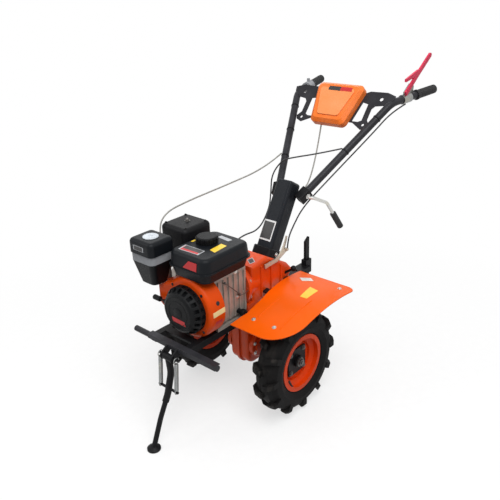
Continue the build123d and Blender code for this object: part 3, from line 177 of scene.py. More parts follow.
# Fenders: a shallow arch along X
FENDERS = ("fender_left", "fender_right")
FENDER_EDGE_R = 2.4
FENDER_BEADS = ((262, -70, 118), (150, -20, 105))      # y, and x of both ends
FENDER_BEAD_R = 3.4
FENDER_BEAD_SUNK = 1.4
FENDER_BEAD_STEPS = 24
FENDER_EDGE_STEP = 20.0
FENDER_INSET = 1.0                   # rolled edge inside the sheet's outline
FENDER_END = 4.0                     # rolled edge short of the inner corners
FENDER_HIGH = 440.0
FENDER_SHEET = 3.0
FENDER_BOLTS = {                     # x, and y from the mid plane
    "fender_left": ((122, 142), (121, 237), (-220, 287)),
    "fender_right": ((122, 190), (121, 262), (-220, 287)),
}
FENDER_OUT = 334.0
FENDER_FRONT = 178.0
FENDER_REAR = -264.0
FENDER_CORNERS = (120.0, 36.0)       # outer corners, front and rear
FENDER_INSIDE = {                    # y of the inner end of the front and rear edges
    "fender_left": (76.0, 64.0),
    "fender_right": (152.0, 64.0),
}

# Upper branch of the shift lever: x, z and half width
SHIFT_BRANCH = (
    (-106, 537, 6.5), (-120, 543, 7.5), (-133, 553, 7.5), (-146, 568, 7.0),
    (-156, 584, 6.2), (-164, 600, 5.2), (-170, 617, 4.2),
)
SHIFT_BRANCH_Y = 67.5
SHIFT_BRANCH_T = 4.0

# Stand springs
SPRING_PIN = (430.0, 0.0, 212.0)
SPRING_Y = 41.0
SPRING_R = 8.0
SPRING_WIRE = 1.6
SPRING_EYES = (11.5, 7.5)            # at the pivot, and at the leg's pin

# Handle column
COLUMN_FOOT = (-122.0, 0.0, 530.0)
COLUMN_LEAN = 30.0                   # degrees from upright, towards the rear
COLUMN_HALF_D = 36.0
COLUMN_BOLT_UP = 17.0
COLUMN_SIDE = 60.0                   # y outside the column's base
CLAMP_NUTS = ((-286, -110, 750), (-286, 110, 750))

# Handlebar ends
BAR_BEND = (-640.0, 232.0, 1070.0)
BAR_END = (-893.0, 285.0, 1095.0)
BAR_R = 15.0
BAR_FOOT = (-268.0, 54.0, 734.0)
BAR_TIES = ((-1, 0.36), (-1, 0.62), (-1, 0.86), (1, 0.5), (1, 0.84))   # side, and share of the bar's length
TIE_WIRE = 1.1
TIE_PROUD = 0.9
TIE_STEPS = (-1.5, 0.0, 1.5)
GRIP_END = 4.0                       # closed end of a grip beyond its bar
GRIP_TIP = ((0.0, 0.0), (0.0, 12.0), (1.2, 15.8), (4.0, 17.8), (9.0, 18.0))
GRIP_RIBBED = (12.0, 98.0)           # where the ribs start and stop
GRIP_RIB = ((0.0, 16.6), (0.25, 18.2), (0.7, 18.2), (0.95, 16.6))      # share of a rib's step, and radius
GRIP_COLLAR = ((102.0, 17.6), (108.0, 19.0), (112.0, 21.0), (118.0, 21.0), (120.0, 19.6), (120.0, 15.2))

# Console: middle of its front, and its lean from upright
CONSOLE_MID = (-602.0, 0.0, 1040.0)
CONSOLE_LEAN = 50.0                  # degrees


def at(x, y, z):
    """A place in the axle frame in millimetres, as metres in the part's frame."""
    return Vector((x * MM + AXLE.x, y * MM, z * MM))


def on_side(place, side):
    """A place of the left side, or its mirror image on the right."""
    x, y, z = place
    return at(x, side * y, z)


def bolt_circle(count, radius):
    """Offsets of bolts spread round a circle, the first half a step from its start."""
    turns = [2 * math.pi * (k + 0.5) / count for k in range(count)]
    return [(radius * math.cos(t), radius * math.sin(t)) for t in turns]


def along_column(up, out, across):
    """A place on the handle column: millimetres up from its foot, out in front and to the left."""
    lean = math.radians(COLUMN_LEAN)
    x = COLUMN_FOOT[0] - up * math.sin(lean) + out * math.cos(lean)
    z = COLUMN_FOOT[2] + up * math.cos(lean) + out * math.sin(lean)
    return at(x, across, z)


def srgb(red, green, blue):
    """A colour as seen on a screen, 0 to 255, as linear red, green and blue."""
    levels = [c / 255 for c in (red, green, blue)]
    return tuple(c / 12.92 if c < 0.04045 else ((c + 0.055) / 1.055) ** 2.4 for c in levels)


def shade(colour, times=1.0):
    """A colour made lighter or darker, with its alpha."""
    return tuple(min(1.0, c * times) for c in tuple(colour)[:3]) + (1.0,)


class Socket:
    """A node's output, so that node maths can be written as Python expressions."""

    def __init__(self, tree, output):
        self.tree = tree
        self.output = output

    def feed(self, socket, value):
        """Give a socket a link, several links, or a value."""
        if isinstance(value, Socket):
            self.tree.links.new(value.output, socket)
        elif isinstance(value, list):
            for each in value:
                self.tree.links.new(each.output, socket)
        else:
            socket.default_value = value

    def make(self, kind, settings=None, inputs=None, out=0):
        """Any other node: its type, its settings, and the values or links of its sockets."""
        node = self.tree.nodes.new(kind)
        for name, value in (settings or {}).items():
            setattr(node, name, value)
        for key, value in (inputs or {}).items():
            self.feed(node.inputs[key], value)
        return Socket(self.tree, node.outputs[out])

    def math(self, operation, first, second=0.0):
        """A Math node on two values."""
        return self.make("ShaderNodeMath", {"operation": operation}, {0: first, 1: second})

    def mix(self, low, high):
        """Two colours mixed by this value."""
        return self.make("ShaderNodeMix", {"data_type": "RGBA"}, {0: self, 6: low, 7: high}, 2)

    def ramp(self, start, end):
        """This value stretched so that start becomes 0 and end becomes 1, and clipped."""
        settings = {"clamp": True}
        inputs = {"Value": self, "From Min": start, "From Max": end}
        return self.make("ShaderNodeMapRange", settings, inputs)

    def __add__(self, other):
        return self.math("ADD", self, other)

    def __radd__(self, other):
        return self.math("ADD", other, self)

    def __sub__(self, other):
        return self.math("SUBTRACT", self, other)

    def __rsub__(self, other):
        return self.math("SUBTRACT", other, self)

    def __mul__(self, other):
        return self.math("MULTIPLY", self, other)

    def __abs__(self):
        return self.math("ABSOLUTE", self)


# Finishes

def new_finish(name):
    """A new material, its shader and the object coordinates."""
    made = bpy.data.materials.new(name)
    made.use_nodes = True
    tree = made.node_tree
    coordinates = tree.nodes.new("ShaderNodeTexCoord")
    return made, tree.nodes["Principled BSDF"], Socket(tree, coordinates.outputs["Object"])


def noise(place, scale, detail=3.0):
    """Soft cloud at so many patches per metre."""
    return place.make("ShaderNodeTexNoise", {}, {"Vector": place, "Scale": scale, "Detail": detail})


def cells(place, scale):
    """Small cells, for the grain of mouldings and castings."""
    return place.make("ShaderNodeTexVoronoi", {}, {"Vector": place, "Scale": scale})


def edge_wear(place, radius):
    """1 along the edges of a piece and 0 on its flats."""
    rounded = place.make("ShaderNodeBevel", {"samples": 4}, {"Radius": radius})
    true = place.make("ShaderNodeNewGeometry", {}, {}, "Normal")
    alike = place.make("ShaderNodeVectorMath", {"operation": "DOT_PRODUCT"}, {0: rounded, 1: true}, "Value")
    return (1 - alike).ramp(0.02, 0.3)


def painted_corner_shade(place, reach):
    """1 in corners and recesses, where shade falls, and 0 in the open: the mask of a painted shade."""
    open_air = place.make("ShaderNodeAmbientOcclusion", {"samples": 8}, {"Distance": reach}, "AO")
    return (1 - open_air).ramp(0.25, 0.9)


def relief(place, shader, height, depth, edge=0.0):
    """Bump from a height, on edges rounded by a small radius."""
    inputs = {"Height": height, "Distance": depth, "Strength": 1.0}
    if edge:
        inputs["Normal"] = place.make("ShaderNodeBevel", {"samples": 4}, {"Radius": edge})
    place.feed(shader.inputs["Normal"], place.make("ShaderNodeBump", {}, inputs))


def patchy(cloud, colour, dark, light):
    """A colour that shifts between a darker and a lighter tone with a cloud."""
    return cloud.ramp(0.3, 0.7).mix(shade(colour, dark), shade(colour, light))


def dress(place, shader, base, roughness, bump, fixed=None):
    """Give a shader its colour, its roughness, its relief and its fixed values."""
    place.feed(shader.inputs["Base Color"], base)
    place.feed(shader.inputs["Roughness"], roughness)
    for name, value in (fixed or {}).items():
        shader.inputs[name].default_value = value
    relief(place, shader, *bump)


def gloss_paint(name, colour, roughness=0.3):
    """Gloss paint on sheet: orange peel, a little dust, and pale worn edges."""
    made, shader, place = new_finish(name)
    cloud = noise(place, 7.0)
    dust = noise(place, 60.0, 5.0)
    peel = noise(place, 700.0, 2.0)
    base = patchy(cloud, colour, 0.93, 1.05)
    worn = edge_wear(place, 0.0016) * dust.ramp(0.42, 0.62)
    base = (worn * 0.2).mix(base, shade(srgb(255, 196, 150)))
    fixed = {"Specular IOR Level": 0.12, "Coat Weight": 0.04, "Coat Roughness": 0.1}
    dress(place, shader, base, roughness + dust * 0.12, (peel, 0.00012, 0.0012), fixed)
    return made


def cast_paint(name, colour):
    """Paint on a sand casting: pitted, with painted shade in its corners."""
    made, shader, place = new_finish(name)
    cloud = noise(place, 11.0)
    pits = noise(place, 260.0, 4.0)
    lumps = noise(place, 45.0, 2.0)
    base = patchy(cloud, colour, 0.85, 1.06)
    # painted shade: corners and recesses darkened towards deep red, broken up by the pits
    pitted_corner_shade = painted_corner_shade(place, 0.03) * pits.ramp(0.3, 0.6)
    base = (pitted_corner_shade * 0.6).mix(base, shade(srgb(70, 24, 14)))
    fixed = {"Specular IOR Level": 0.25, "Coat Weight": 0.1, "Coat Roughness": 0.12}
    dress(place, shader, base, 0.26 + pits * 0.16, (pits + lumps * 0.8, 0.0006, 0.002), fixed)
    return made


def satin_paint(name, colour, roughness=0.38):
    """Satin powder coat: fine texture, rubbed edges and a little dust."""
    made, shader, place = new_finish(name)
    cloud = noise(place, 14.0)
    dust = noise(place, 90.0, 5.0)
    grain = noise(place, 900.0, 2.0)
    base = patchy(cloud, colour, 0.75, 1.3)
    worn = edge_wear(place, 0.0014) * dust.ramp(0.4, 0.6)
    base = (worn * 0.4).mix(base, shade(srgb(118, 116, 114)))
    fixed = {"Specular IOR Level": 0.14}
    dress(place, shader, base, roughness + dust * 0.16, (grain, 0.00016, 0.0012), fixed)
    return made


def moulding(name, colour, roughness=0.42, scale=1100.0):
    """Moulded plastic: spark grain, soft edges and faint handling marks."""
    made, shader, place = new_finish(name)
    cloud = noise(place, 18.0)
    marks = noise(place, 120.0, 6.0)
    grain = cells(place, scale)
    base = patchy(cloud, colour, 0.88, 1.1)
    worn = edge_wear(place, 0.0012) * marks.ramp(0.4, 0.6)
    base = (worn * 0.08).mix(base, shade(srgb(205, 205, 205)))
    fixed = {"Specular IOR Level": 0.14}
    dress(place, shader, base, roughness + marks * 0.14, (grain, 0.00018, 0.0014), fixed)
    return made


def sheen_panel_moulding(name, rim, panel, face, facing):
    """Moulded cover whose raised panel, level with a place on its face, is paler than its rim: a painted sheen on
    the panel's flat face.
    """
    made, shader, place = new_finish(name)
    cloud = noise(place, 12.0)
    marks = noise(place, 120.0, 6.0)
    grain = cells(place, 1400.0)
    level = place.make("ShaderNodeVectorMath", {"operation": "DOT_PRODUCT"}, {0: place, 1: facing}, "Value")
    front = face.dot(facing)
    raised = level.ramp(front - 0.0035, front - 0.0015)
    # painted sheen: the raised panel paler than the rim
    base = raised.mix(shade(rim), shade(panel))
    dusty = cloud.ramp(0.35, 0.75) * 0.12
    base = dusty.mix(base, shade(srgb(255, 214, 176)))
    fixed = {"Specular IOR Level": 0.2}
    dress(place, shader, base, 0.3 + marks * 0.14, (grain, 0.00007, 0.003), fixed)
    return made


def cast_metal(name, colour):
    """Bare cast aluminium: grainy, with painted shade darkening its corners."""
    made, shader, place = new_finish(name)
    cloud = noise(place, 20.0)
    grain = noise(place, 420.0, 4.0)
    base = patchy(cloud, colour, 0.8, 1.12)
    # painted shade: corners and recesses darkened towards dark brown, broken up by the grain
    pitted_corner_shade = painted_corner_shade(place, 0.02) * grain.ramp(0.3, 0.6)
    base = (pitted_corner_shade * 0.75).mix(base, shade(srgb(60, 52, 46)))
    fixed = {"Metallic": 0.55}
    dress(place, shader, base, 0.42 + grain * 0.2, (grain, 0.0004, 0.0014), fixed)
    return made


def plated_metal(name, colour, roughness=0.24, tint=(0.62, 0.55, 0.36)):
    """Zinc plate or turned steel: fine streaks, with a tint here and there."""
    made, shader, place = new_finish(name)
    stretch = {"Vector": place, "Scale": (90.0, 90.0, 900.0)}
    long_way = place.make("ShaderNodeMapping", {}, stretch)
    streaks = long_way.make("ShaderNodeTexNoise", {}, {"Vector": long_way, "Scale": 1.0, "Detail": 2.0})
    cloud = noise(place, 40.0)
    base = (cloud.ramp(0.45, 0.75) * 0.35).mix(shade(colour), shade(tint))
    fixed = {"Metallic": 1.0}
    dress(place, shader, base, roughness + streaks * 0.16, (streaks, 0.00006, 0.0008), fixed)
    return made


def hot_metal(name, colour):
    """Exhaust sheet: dark, with brown heat tints."""
    made, shader, place = new_finish(name)
    cloud = noise(place, 24.0, 5.0)
    scale = noise(place, 300.0, 3.0)
    base = cloud.ramp(0.35, 0.65).mix(shade(colour, 0.9), shade(srgb(92, 66, 50)))
    fixed = {"Metallic": 0.7}
    dress(place, shader, base, 0.45 + scale * 0.25, (scale, 0.0003, 0.001), fixed)
    return made


def tyre_rubber(name, colour):
    """Tyre rubber: moulding rings on the sidewalls, dust on the lugs."""
    made, shader, place = new_finish(name)
    axle = place.make("ShaderNodeVectorMath", {"operation": "SUBTRACT"}, {0: place, 1: (AXLE.x, 0.0, AXLE.z)})
    across = axle.make("ShaderNodeSeparateXYZ", {}, {0: axle}, "Y")
    flat = axle.make("ShaderNodeVectorMath", {"operation": "MULTIPLY"}, {0: axle, 1: (1.0, 0.0, 1.0)})
    reach = flat.make("ShaderNodeVectorMath", {"operation": "LENGTH"}, {0: flat}, "Value")
    wave = reach.math("SINE", reach * 1500.0)
    side = abs(abs(across) - WHEEL_MID * MM).ramp(0.03, 0.045)
    low = 1 - reach.ramp(0.15, 0.165)
    rings = wave.ramp(0.2, 0.9) * side * low
    dust = noise(place, 35.0, 6.0)
    grain = noise(place, 520.0, 3.0)
    tread = reach.ramp(0.185, 0.203)
    base = (dust.ramp(0.4, 0.75) * 0.5).mix(shade(colour, 0.8), shade(colour, 1.7))
    base = (tread * dust.ramp(0.45, 0.6) * 0.4).mix(base, shade(srgb(74, 70, 66)))
    fixed = {"Specular IOR Level": 0.12}
    dress(place, shader, base, 0.58 + dust * 0.2, (grain * 0.35 + rings, 0.0006, 0.0025), fixed)
    return made


def soft_rubber(name, colour):
    """Soft grip rubber: matt, with a fine skin."""
    made, shader, place = new_finish(name)
    cloud = noise(place, 30.0)
    skin = cells(place, 1500.0)
    base = patchy(cloud, colour, 0.8, 1.3)
    dress(place, shader, base, 0.6 + cloud * 0.15, (skin, 0.00025, 0.001))
    return made


def cable_sheath(name, colour):
    """Extruded cable sheath: smooth and slightly dusty."""
    made, shader, place = new_finish(name)
    cloud = noise(place, 60.0, 4.0)
    skin = noise(place, 1200.0, 2.0)
    base = patchy(cloud, colour, 0.85, 1.15)
    dress(place, shader, base, 0.4 + cloud * 0.15, (skin, 0.00012))
    return made


def blank_sticker(name, colour):
    """A blank sheet of vinyl: smooth, slightly faded in places."""
    made, shader, place = new_finish(name)
    cloud = noise(place, 50.0, 4.0)
    skin = noise(place, 800.0, 2.0)
    base = cloud.ramp(0.35, 0.7).mix(shade(colour, 0.94), shade(colour, 1.05))
    dress(place, shader, base, 0.3 + cloud * 0.12, (skin, 0.00006))
    return made


FINISHES = {}


def finish(name):
    """A finish made by the finishes operator."""
    if name not in FINISHES:
        raise RuntimeError("make the finishes first: " + name)
    return FINISHES[name]


# Shapes

def piece(name, mesh, look, body, bend=38.0):
    """Link a mesh as a piece that rides on a body."""
    if not mesh.materials:
        mesh.materials.append(finish(look))
    mesh.shade_smooth()
    mesh.set_sharp_from_angle(angle=math.radians(bend))
    made = bpy.data.objects.new(name, mesh)
    bpy.context.collection.objects.link(made)
    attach(made, body)
    return made


def to_mesh(shape, name):
    """A finished mesh from an editing mesh, with its doubles merged and its faces outwards."""
    bmesh.ops.remove_doubles(shape, verts=shape.verts, dist=0.00001)
    bmesh.ops.recalc_face_normals(shape, faces=shape.faces)
    mesh = bpy.data.meshes.new(name)
    shape.to_mesh(mesh)
    shape.free()
    return mesh


def add_piece(name, shape, look, body="chassis", bend=38.0):
    """Link an editing mesh as a piece that rides on a body."""
    return piece(name, to_mesh(shape, name), look, body, bend)


def axes(direction):
    """Two directions square to a third."""
    ahead = Vector(direction).normalized()
    helper = Vector(UP) if abs(ahead.z) < 0.9 else Vector(AHEAD)
    side = ahead.cross(helper).normalized()
    return ahead, side, ahead.cross(side)


def bridge(shape, low, high):
    """Add the faces between two rings of as many corners."""
    count = len(low)
    for k in range(count):
        nxt = (k + 1) % count
        shape.faces.new((low[k], low[nxt], high[nxt], high[k]))


def lathe(shape, profile, foot, direction, steps=40):
    """Add a turned shape: profile rows are distance along the axis and radius, in millimetres."""
    ahead, side, top = axes(direction)
    rings = []
    for along, radius in profile:
        centre = foot + ahead * along * MM
        if radius <= 0:
            rings.append([shape.verts.new(centre)])
            continue
        turns = [2 * math.pi * k / steps for k in range(steps)]
        out = [(side * math.cos(t) + top * math.sin(t)) * radius * MM for t in turns]
        rings.append([shape.verts.new(centre + o) for o in out])
    for low, high in zip(rings, rings[1:]):
        if len(low) == len(high):
            bridge(shape, low, high)
            continue
        tip, ring = (low[0], high) if len(low) == 1 else (high[0], low)
        for k in range(steps):
            shape.faces.new((tip, ring[k], ring[(k + 1) % steps]))


def hoop(shape, centre, direction, radius, wire, steps=28, sides=10):
    """Add a ring of round wire about a direction, in millimetres."""
    ahead, side, top = axes(direction)
    rings = []
    for k in range(steps):
        turn = 2 * math.pi * k / steps
        out = side * math.cos(turn) + top * math.sin(turn)
        ring = []
        for j in range(sides):
            roll = 2 * math.pi * j / sides
            reach = (radius + wire * math.cos(roll)) * MM
            ring.append(shape.verts.new(centre + out * reach + ahead * wire * math.sin(roll) * MM))
        rings.append(ring)
    for k in range(steps):
        bridge(shape, rings[k], rings[(k + 1) % steps])


def close_rings(shape, rings):
    """Add the faces along a row of rings, and one on each end."""
    for low, high in zip(rings, rings[1:]):
        bridge(shape, low, high)
    shape.faces.new(rings[0])
    shape.faces.new(rings[-1])


def wire(shape, places, radius, sides=10):
    """Add a rod of round section, in millimetres, along places in metres."""
    rings = []
    last = len(places) - 1
    out = None
    for k, place in enumerate(places):
        ahead = (places[min(k + 1, last)] - places[max(k - 1, 0)]).normalized()
        out = axes(ahead)[1] if out is None else (out - ahead * out.dot(ahead)).normalized()
        top = ahead.cross(out)
        turns = [2 * math.pi * j / sides for j in range(sides)]
        ring = [place + (out * math.cos(t) + top * math.sin(t)) * radius * MM for t in turns]
        rings.append([shape.verts.new(spot) for spot in ring])
    close_rings(shape, rings)


def flat_bar(shape, rows, side, thick):
    """Add a flat bar along rows of place and half width, lying square to a side."""
    out = Vector(side)
    rings = []
    last = len(rows) - 1
    for k, (place, half) in enumerate(rows):
        ahead = (rows[min(k + 1, last)][0] - rows[max(k - 1, 0)][0]).normalized()
        across = out.cross(ahead) * half * MM
        step = out * thick / 2 * MM
        spots = (place - across - step, place + across - step, place + across + step, place - across + step)
        rings.append([shape.verts.new(spot) for spot in spots])
    close_rings(shape, rings)


def touch(node, place, direction):
    """Where a line through a place meets a solid, coming from outside, and the surface's normal there."""
    way = Vector(direction).normalized()
    hit, spot, normal, _ = NODES[node].ray_cast(place - way * TOUCH_FROM, way)
    if not hit:
        raise RuntimeError("nothing of " + node + " lies under " + str(tuple(place)))
    if normal.dot(way) > 0:
        normal = -normal
    return spot, normal


def skin(shape, node, corners, direction, thick, steps=10):
    """Add a thin sheet of four corners that lies on a solid, whatever its curve."""
    a, b, c, d = corners
    tops = []
    lows = []
    for j in range(steps + 1):
        v = j / steps
        row_top = []
        row_low = []
        for k in range(steps + 1):
            u = k / steps
            start = (a * (1 - u) + b * u) * (1 - v) + (d * (1 - u) + c * u) * v
            spot, normal = touch(node, start, direction)
            row_top.append(shape.verts.new(spot + normal * thick * MM))
            row_low.append(shape.verts.new(spot - normal * STICKER_SUNK * MM))
        tops.append(row_top)
        lows.append(row_low)
    for j in range(steps):
        for k in range(steps):
            for rows in (tops, lows):
                shape.faces.new((rows[j][k], rows[j][k + 1], rows[j + 1][k + 1], rows[j + 1][k]))
    for k in range(steps):
        for j in (0, steps):
            shape.faces.new((tops[j][k], tops[j][k + 1], lows[j][k + 1], lows[j][k]))
            shape.faces.new((tops[k][j], tops[k + 1][j], lows[k + 1][j], lows[k][j]))


def sticker(name, node, corners, direction, look, thick=0.5):
    """A blank plate or sticker on a solid; corners in millimetres in the axle frame."""
    shape = bmesh.new()
    skin(shape, node, [at(*corner) for corner in corners], direction, thick)
    return add_piece(name, shape, look)


def shrunk(corners, share):
    """Four corners drawn towards their middle."""
    middle = sum((Vector(c) for c in corners), Vector()) / len(corners)
    return [tuple(middle + (Vector(c) - middle) * share) for c in corners]


def framed_plate(outer, inner, node, corners, direction, look, share, thick):
    """A blank dark plate on a paler one that shows round it as a frame."""
    sticker(outer, node, corners, direction, look, thick[0])
    sticker(inner, node, shrunk(corners, share), direction, "dark_sticker", thick[1])


def smooth_curve(name, places, order=3):
    """One NURBS spline with these places as its control points."""
    curve = bpy.data.curves.new(name, "CURVE")
    curve.dimensions = "3D"
    spline = curve.splines.new("NURBS")
    spline.points.add(len(places) - 1)
    for point, place in zip(spline.points, places):
        point.co = (*place, 1.0)
    spline.order_u = order
    spline.use_endpoint_u = True
    spline.resolution_u = 12
    return curve


# Geometry Nodes

def new_tree(name, sizes):
    """A node tree with a geometry input, named size inputs and a geometry output."""
    tree = bpy.data.node_groups.new(name, "GeometryNodeTree")
    tree.interface.new_socket("Places", in_out="INPUT", socket_type="NodeSocketGeometry")
    for label, value in sizes.items():
        kind = "NodeSocketInt" if isinstance(value, int) else "NodeSocketFloat"
        made = tree.interface.new_socket(label, in_out="INPUT", socket_type=kind)
        made.default_value = value
    tree.interface.new_socket("Result", in_out="OUTPUT", socket_type="NodeSocketGeometry")
    given = tree.nodes.new("NodeGroupInput")
    return tree, {out.name: Socket(tree, out) for out in given.outputs if out.name}


def repeat_on_places(tree, given, shape, look):
    """Put a shape on every place, turned to its axis and sized by its size, as one real mesh."""
    places = given["Places"]
    axis = places.make("GeometryNodeInputNamedAttribute", {"data_type": "FLOAT_VECTOR"}, {"Name": "axis"})
    size = places.make("GeometryNodeInputNamedAttribute", {"data_type": "FLOAT"}, {"Name": "size"})
    turned = places.make("FunctionNodeAlignRotationToVector", {"axis": "Z"}, {"Vector": axis})
    inputs = {"Points": places, "Instance": shape, "Rotation": turned, "Scale": size}
    spread = places.make("GeometryNodeInstanceOnPoints", {}, inputs)
    real = places.make("GeometryNodeRealizeInstances", {}, {"Geometry": spread})
    done = places.make("GeometryNodeSetMaterial", {}, {"Geometry": real, "Material": finish(look)})
    end = tree.nodes.new("NodeGroupOutput")
    tree.links.new(done.output, end.inputs["Result"])


def moved(shape, height):
    """A shape moved up along its own axis."""
    return shape.make("GeometryNodeTransform", {}, {"Geometry": shape, "Translation": (0.0, 0.0, height)})


def disc(given, corners, radius, depth, height):
    """A round or many-sided disc whose middle is at a height."""
    inputs = {"Vertices": corners, "Radius": radius, "Depth": depth}
    return moved(given["Places"].make("GeometryNodeMeshCylinder", {}, inputs), height)


def join(shapes):
    """Several shapes as one."""
    return shapes[0].make("GeometryNodeJoinGeometry", {}, {"Geometry": shapes})


def hex_head_tree(name, look, head, washer):
    """Hexagon heads with washers, one for each place; sizes are shares of the head's radius."""
    tree, given = new_tree(name, {"Head height": head, "Washer radius": washer})
    high = given["Head height"]
    parts = [
        disc(given, 24, given["Washer radius"], 0.2, 0.1),
        disc(given, 6, 1.0, high, 0.2),
        disc(given, 24, 0.86, 0.2, 0.2 + head / 2),
        disc(given, 16, 0.5, 0.5, 0.3 + head / 2),
    ]
    repeat_on_places(tree, given, join(parts), look)
    return tree


def slot_tree(name, look, length, width, depth):
    """Round-ended slots, one for each place, in metres."""
    tree, given = new_tree(name, {"Length": length, "Width": width, "Depth": depth})
    long = given["Length"]
    wide = given["Width"]
    deep = given["Depth"]
    size = long.make("ShaderNodeCombineXYZ", {}, {"X": long, "Y": wide, "Z": deep})
    bar = long.make("GeometryNodeMeshCube", {}, {"Size": size})
    parts = [bar]
    for sign in SIDES:
        end = long.make("GeometryNodeMeshCylinder", {}, {"Vertices": 16, "Radius": wide * 0.5, "Depth": deep})
        out = long.make("ShaderNodeCombineXYZ", {}, {"X": long * (0.5 * sign)})
        parts.append(long.make("GeometryNodeTransform", {}, {"Geometry": end, "Translation": out}))
    repeat_on_places(tree, given, join(parts), look)
    return tree


def coil_tree(name, look, turns, radius, wire, height):
    """Close coils, one for each place, in metres."""
    sizes = {"Turns": turns, "Coil radius": radius, "Wire radius": wire, "Height": height}
    tree, given = new_tree(name, sizes)
    places = given["Places"]
    inputs = {
        "Resolution": 20,
        "Rotations": given["Turns"],
        "Start Radius": given["Coil radius"],
        "End Radius": given["Coil radius"],
        "Height": given["Height"],
    }
    spiral = places.make("GeometryNodeCurveSpiral", {}, inputs)
    round_wire = places.make(
        "GeometryNodeCurvePrimitiveCircle", {}, {"Resolution": 10, "Radius": given["Wire radius"]}
    )
    inputs = {"Curve": spiral, "Profile Curve": round_wire, "Fill Caps": True}
    wound = places.make("GeometryNodeCurveToMesh", {}, inputs)
    repeat_on_places(tree, given, wound, look)
    return tree


def on_places(name, tree, rows, sizes):
    """Run a tree on places given as rows of place, axis and size, and keep a plain mesh."""
    points = bpy.data.meshes.new(name + "_places")
    points.from_pydata([row[0] for row in rows], [], [])
    points.attributes.new("axis", "FLOAT_VECTOR", "POINT")
    points.attributes.new("size", "FLOAT", "POINT")
    for k, row in enumerate(rows):
        points.attributes["axis"].data[k].vector = row[1]
        points.attributes["size"].data[k].value = row[2]
    holder = bpy.data.objects.new(name + "_places", points)
    bpy.context.collection.objects.link(holder)
    modifier = holder.modifiers.new("shape", "NODES")
    modifier.node_group = tree
    for item in tree.interface.items_tree:
        if item.name in sizes:
            modifier[item.identifier] = sizes[item.name]
    graph = bpy.context.evaluated_depsgraph_get()
    mesh = bpy.data.meshes.new_from_object(holder.evaluated_get(graph))
    holder.modifiers.remove(modifier)
    bpy.data.objects.remove(holder)
    if not mesh.polygons:
        raise RuntimeError("no faces came from the tree for " + name)
    return mesh


# Sizes and colours that a user would change

def colour_property(name, description, colour):
    """A colour that a user can set."""
    return FloatVectorProperty(
        name=name, description=description, default=srgb(*colour), subtype="COLOR", min=0.0, max=1.0)


def length_property(name, description, metres, low, high):
    """A length that a user can set."""
    return FloatProperty(
        name=name, description=description, default=metres, unit="LENGTH", min=low, max=high)


class WeederColours(bpy.types.PropertyGroup):
    """Main colours of the machine."""

    orange: colour_property("Orange", "Paint of the fenders, shroud and rims", (240, 94, 2))
    casting: colour_property("Casting", "Paint of the gear case", (226, 74, 10))
    console: colour_property("Console", "Plastic of the console cover", (244, 118, 36))
    # paler panel: a painted sheen on the console's face
    panel: colour_property("Console panel", "Paler raised panel of the console cover", (246, 146, 84))
    black: colour_property("Black", "Paint of the frame and the handlebars", (20, 20, 22))
    plastic: colour_property("Black plastic", "Tank, starter and air cleaner", (14, 15, 17))
    lever: colour_property("Lever", "Plastic of the clutch lever", (218, 50, 84))


class WeederSizes(bpy.types.PropertyGroup):
    """Sizes of the small parts."""

    hub_bolt: length_property("Hub bolt", "Radius of the hub bolts' heads", 0.0075, 0.002, 0.02)
    case_bolt: length_property("Case bolt", "Radius of the chassis bolts' heads", 0.006, 0.002, 0.02)
    trim_screw: length_property("Trim screw", "Radius of the small screws' heads", 0.0042, 0.001, 0.01)
    spring_turns: FloatProperty(
        name="Spring turns", description="Turns of each stand spring",
        default=26.0, min=4.0, max=60.0)
    grip_ribs: IntProperty(
        name="Grip ribs", description="Ribs round each handlebar grip",
        default=16, min=4, max=40)
    floor_side: length_property("Floor", "Side of the studio floor", 14.0, 2.0, 60.0)
    light_power: FloatProperty(
        name="Light", description="Power of the main light",
        default=94.0, unit="POWER", min=0.0, max=2000.0)


# Operators

class WEEDER_OT_camera(bpy.types.Operator):
    """Place the camera where the photograph was taken"""

    bl_idname = "weeder.camera"
    bl_label = "Camera"

    def execute(self, context):
        yaw = math.radians(CAMERA_YAW)
        pitch = math.radians(CAMERA_PITCH)
        roll = math.radians(CAMERA_ROLL)
        flat = math.cos(pitch)
        ahead = Vector((flat * math.cos(yaw), flat * math.sin(yaw), math.sin(pitch)))
        level = ahead.cross(Vector(UP)).normalized()
        upright = level.cross(ahead)
        right = math.cos(roll) * level + math.sin(roll) * upright
        up = math.cos(roll) * upright - math.sin(roll) * level
        lens = bpy.data.cameras.new("camera")
        lens.sensor_width = SENSOR
        lens.lens = SENSOR * CAMERA_FOCAL / PHOTO_SIDE
        camera = bpy.data.objects.new("camera", lens)
        turn = Matrix((right, up, -ahead)).transposed().to_4x4()
        camera.matrix_world = Matrix.Translation(at(*CAMERA_PLACE)) @ turn
        context.collection.objects.link(camera)
        context.scene.camera = camera
        return {"FINISHED"}


def looked_at(tree):
    """1 for rays from the camera, mirrored rays and rays through clear things, or else 0."""
    path = tree.nodes.new("ShaderNodeLightPath")
    kinds = ("Is Camera Ray", "Is Glossy Ray", "Is Transmission Ray")
    seen, glossy, clear = (Socket(tree, path.outputs[kind]) for kind in kinds)
    return seen.math("MAXIMUM", seen.math("MAXIMUM", seen, glossy), clear)


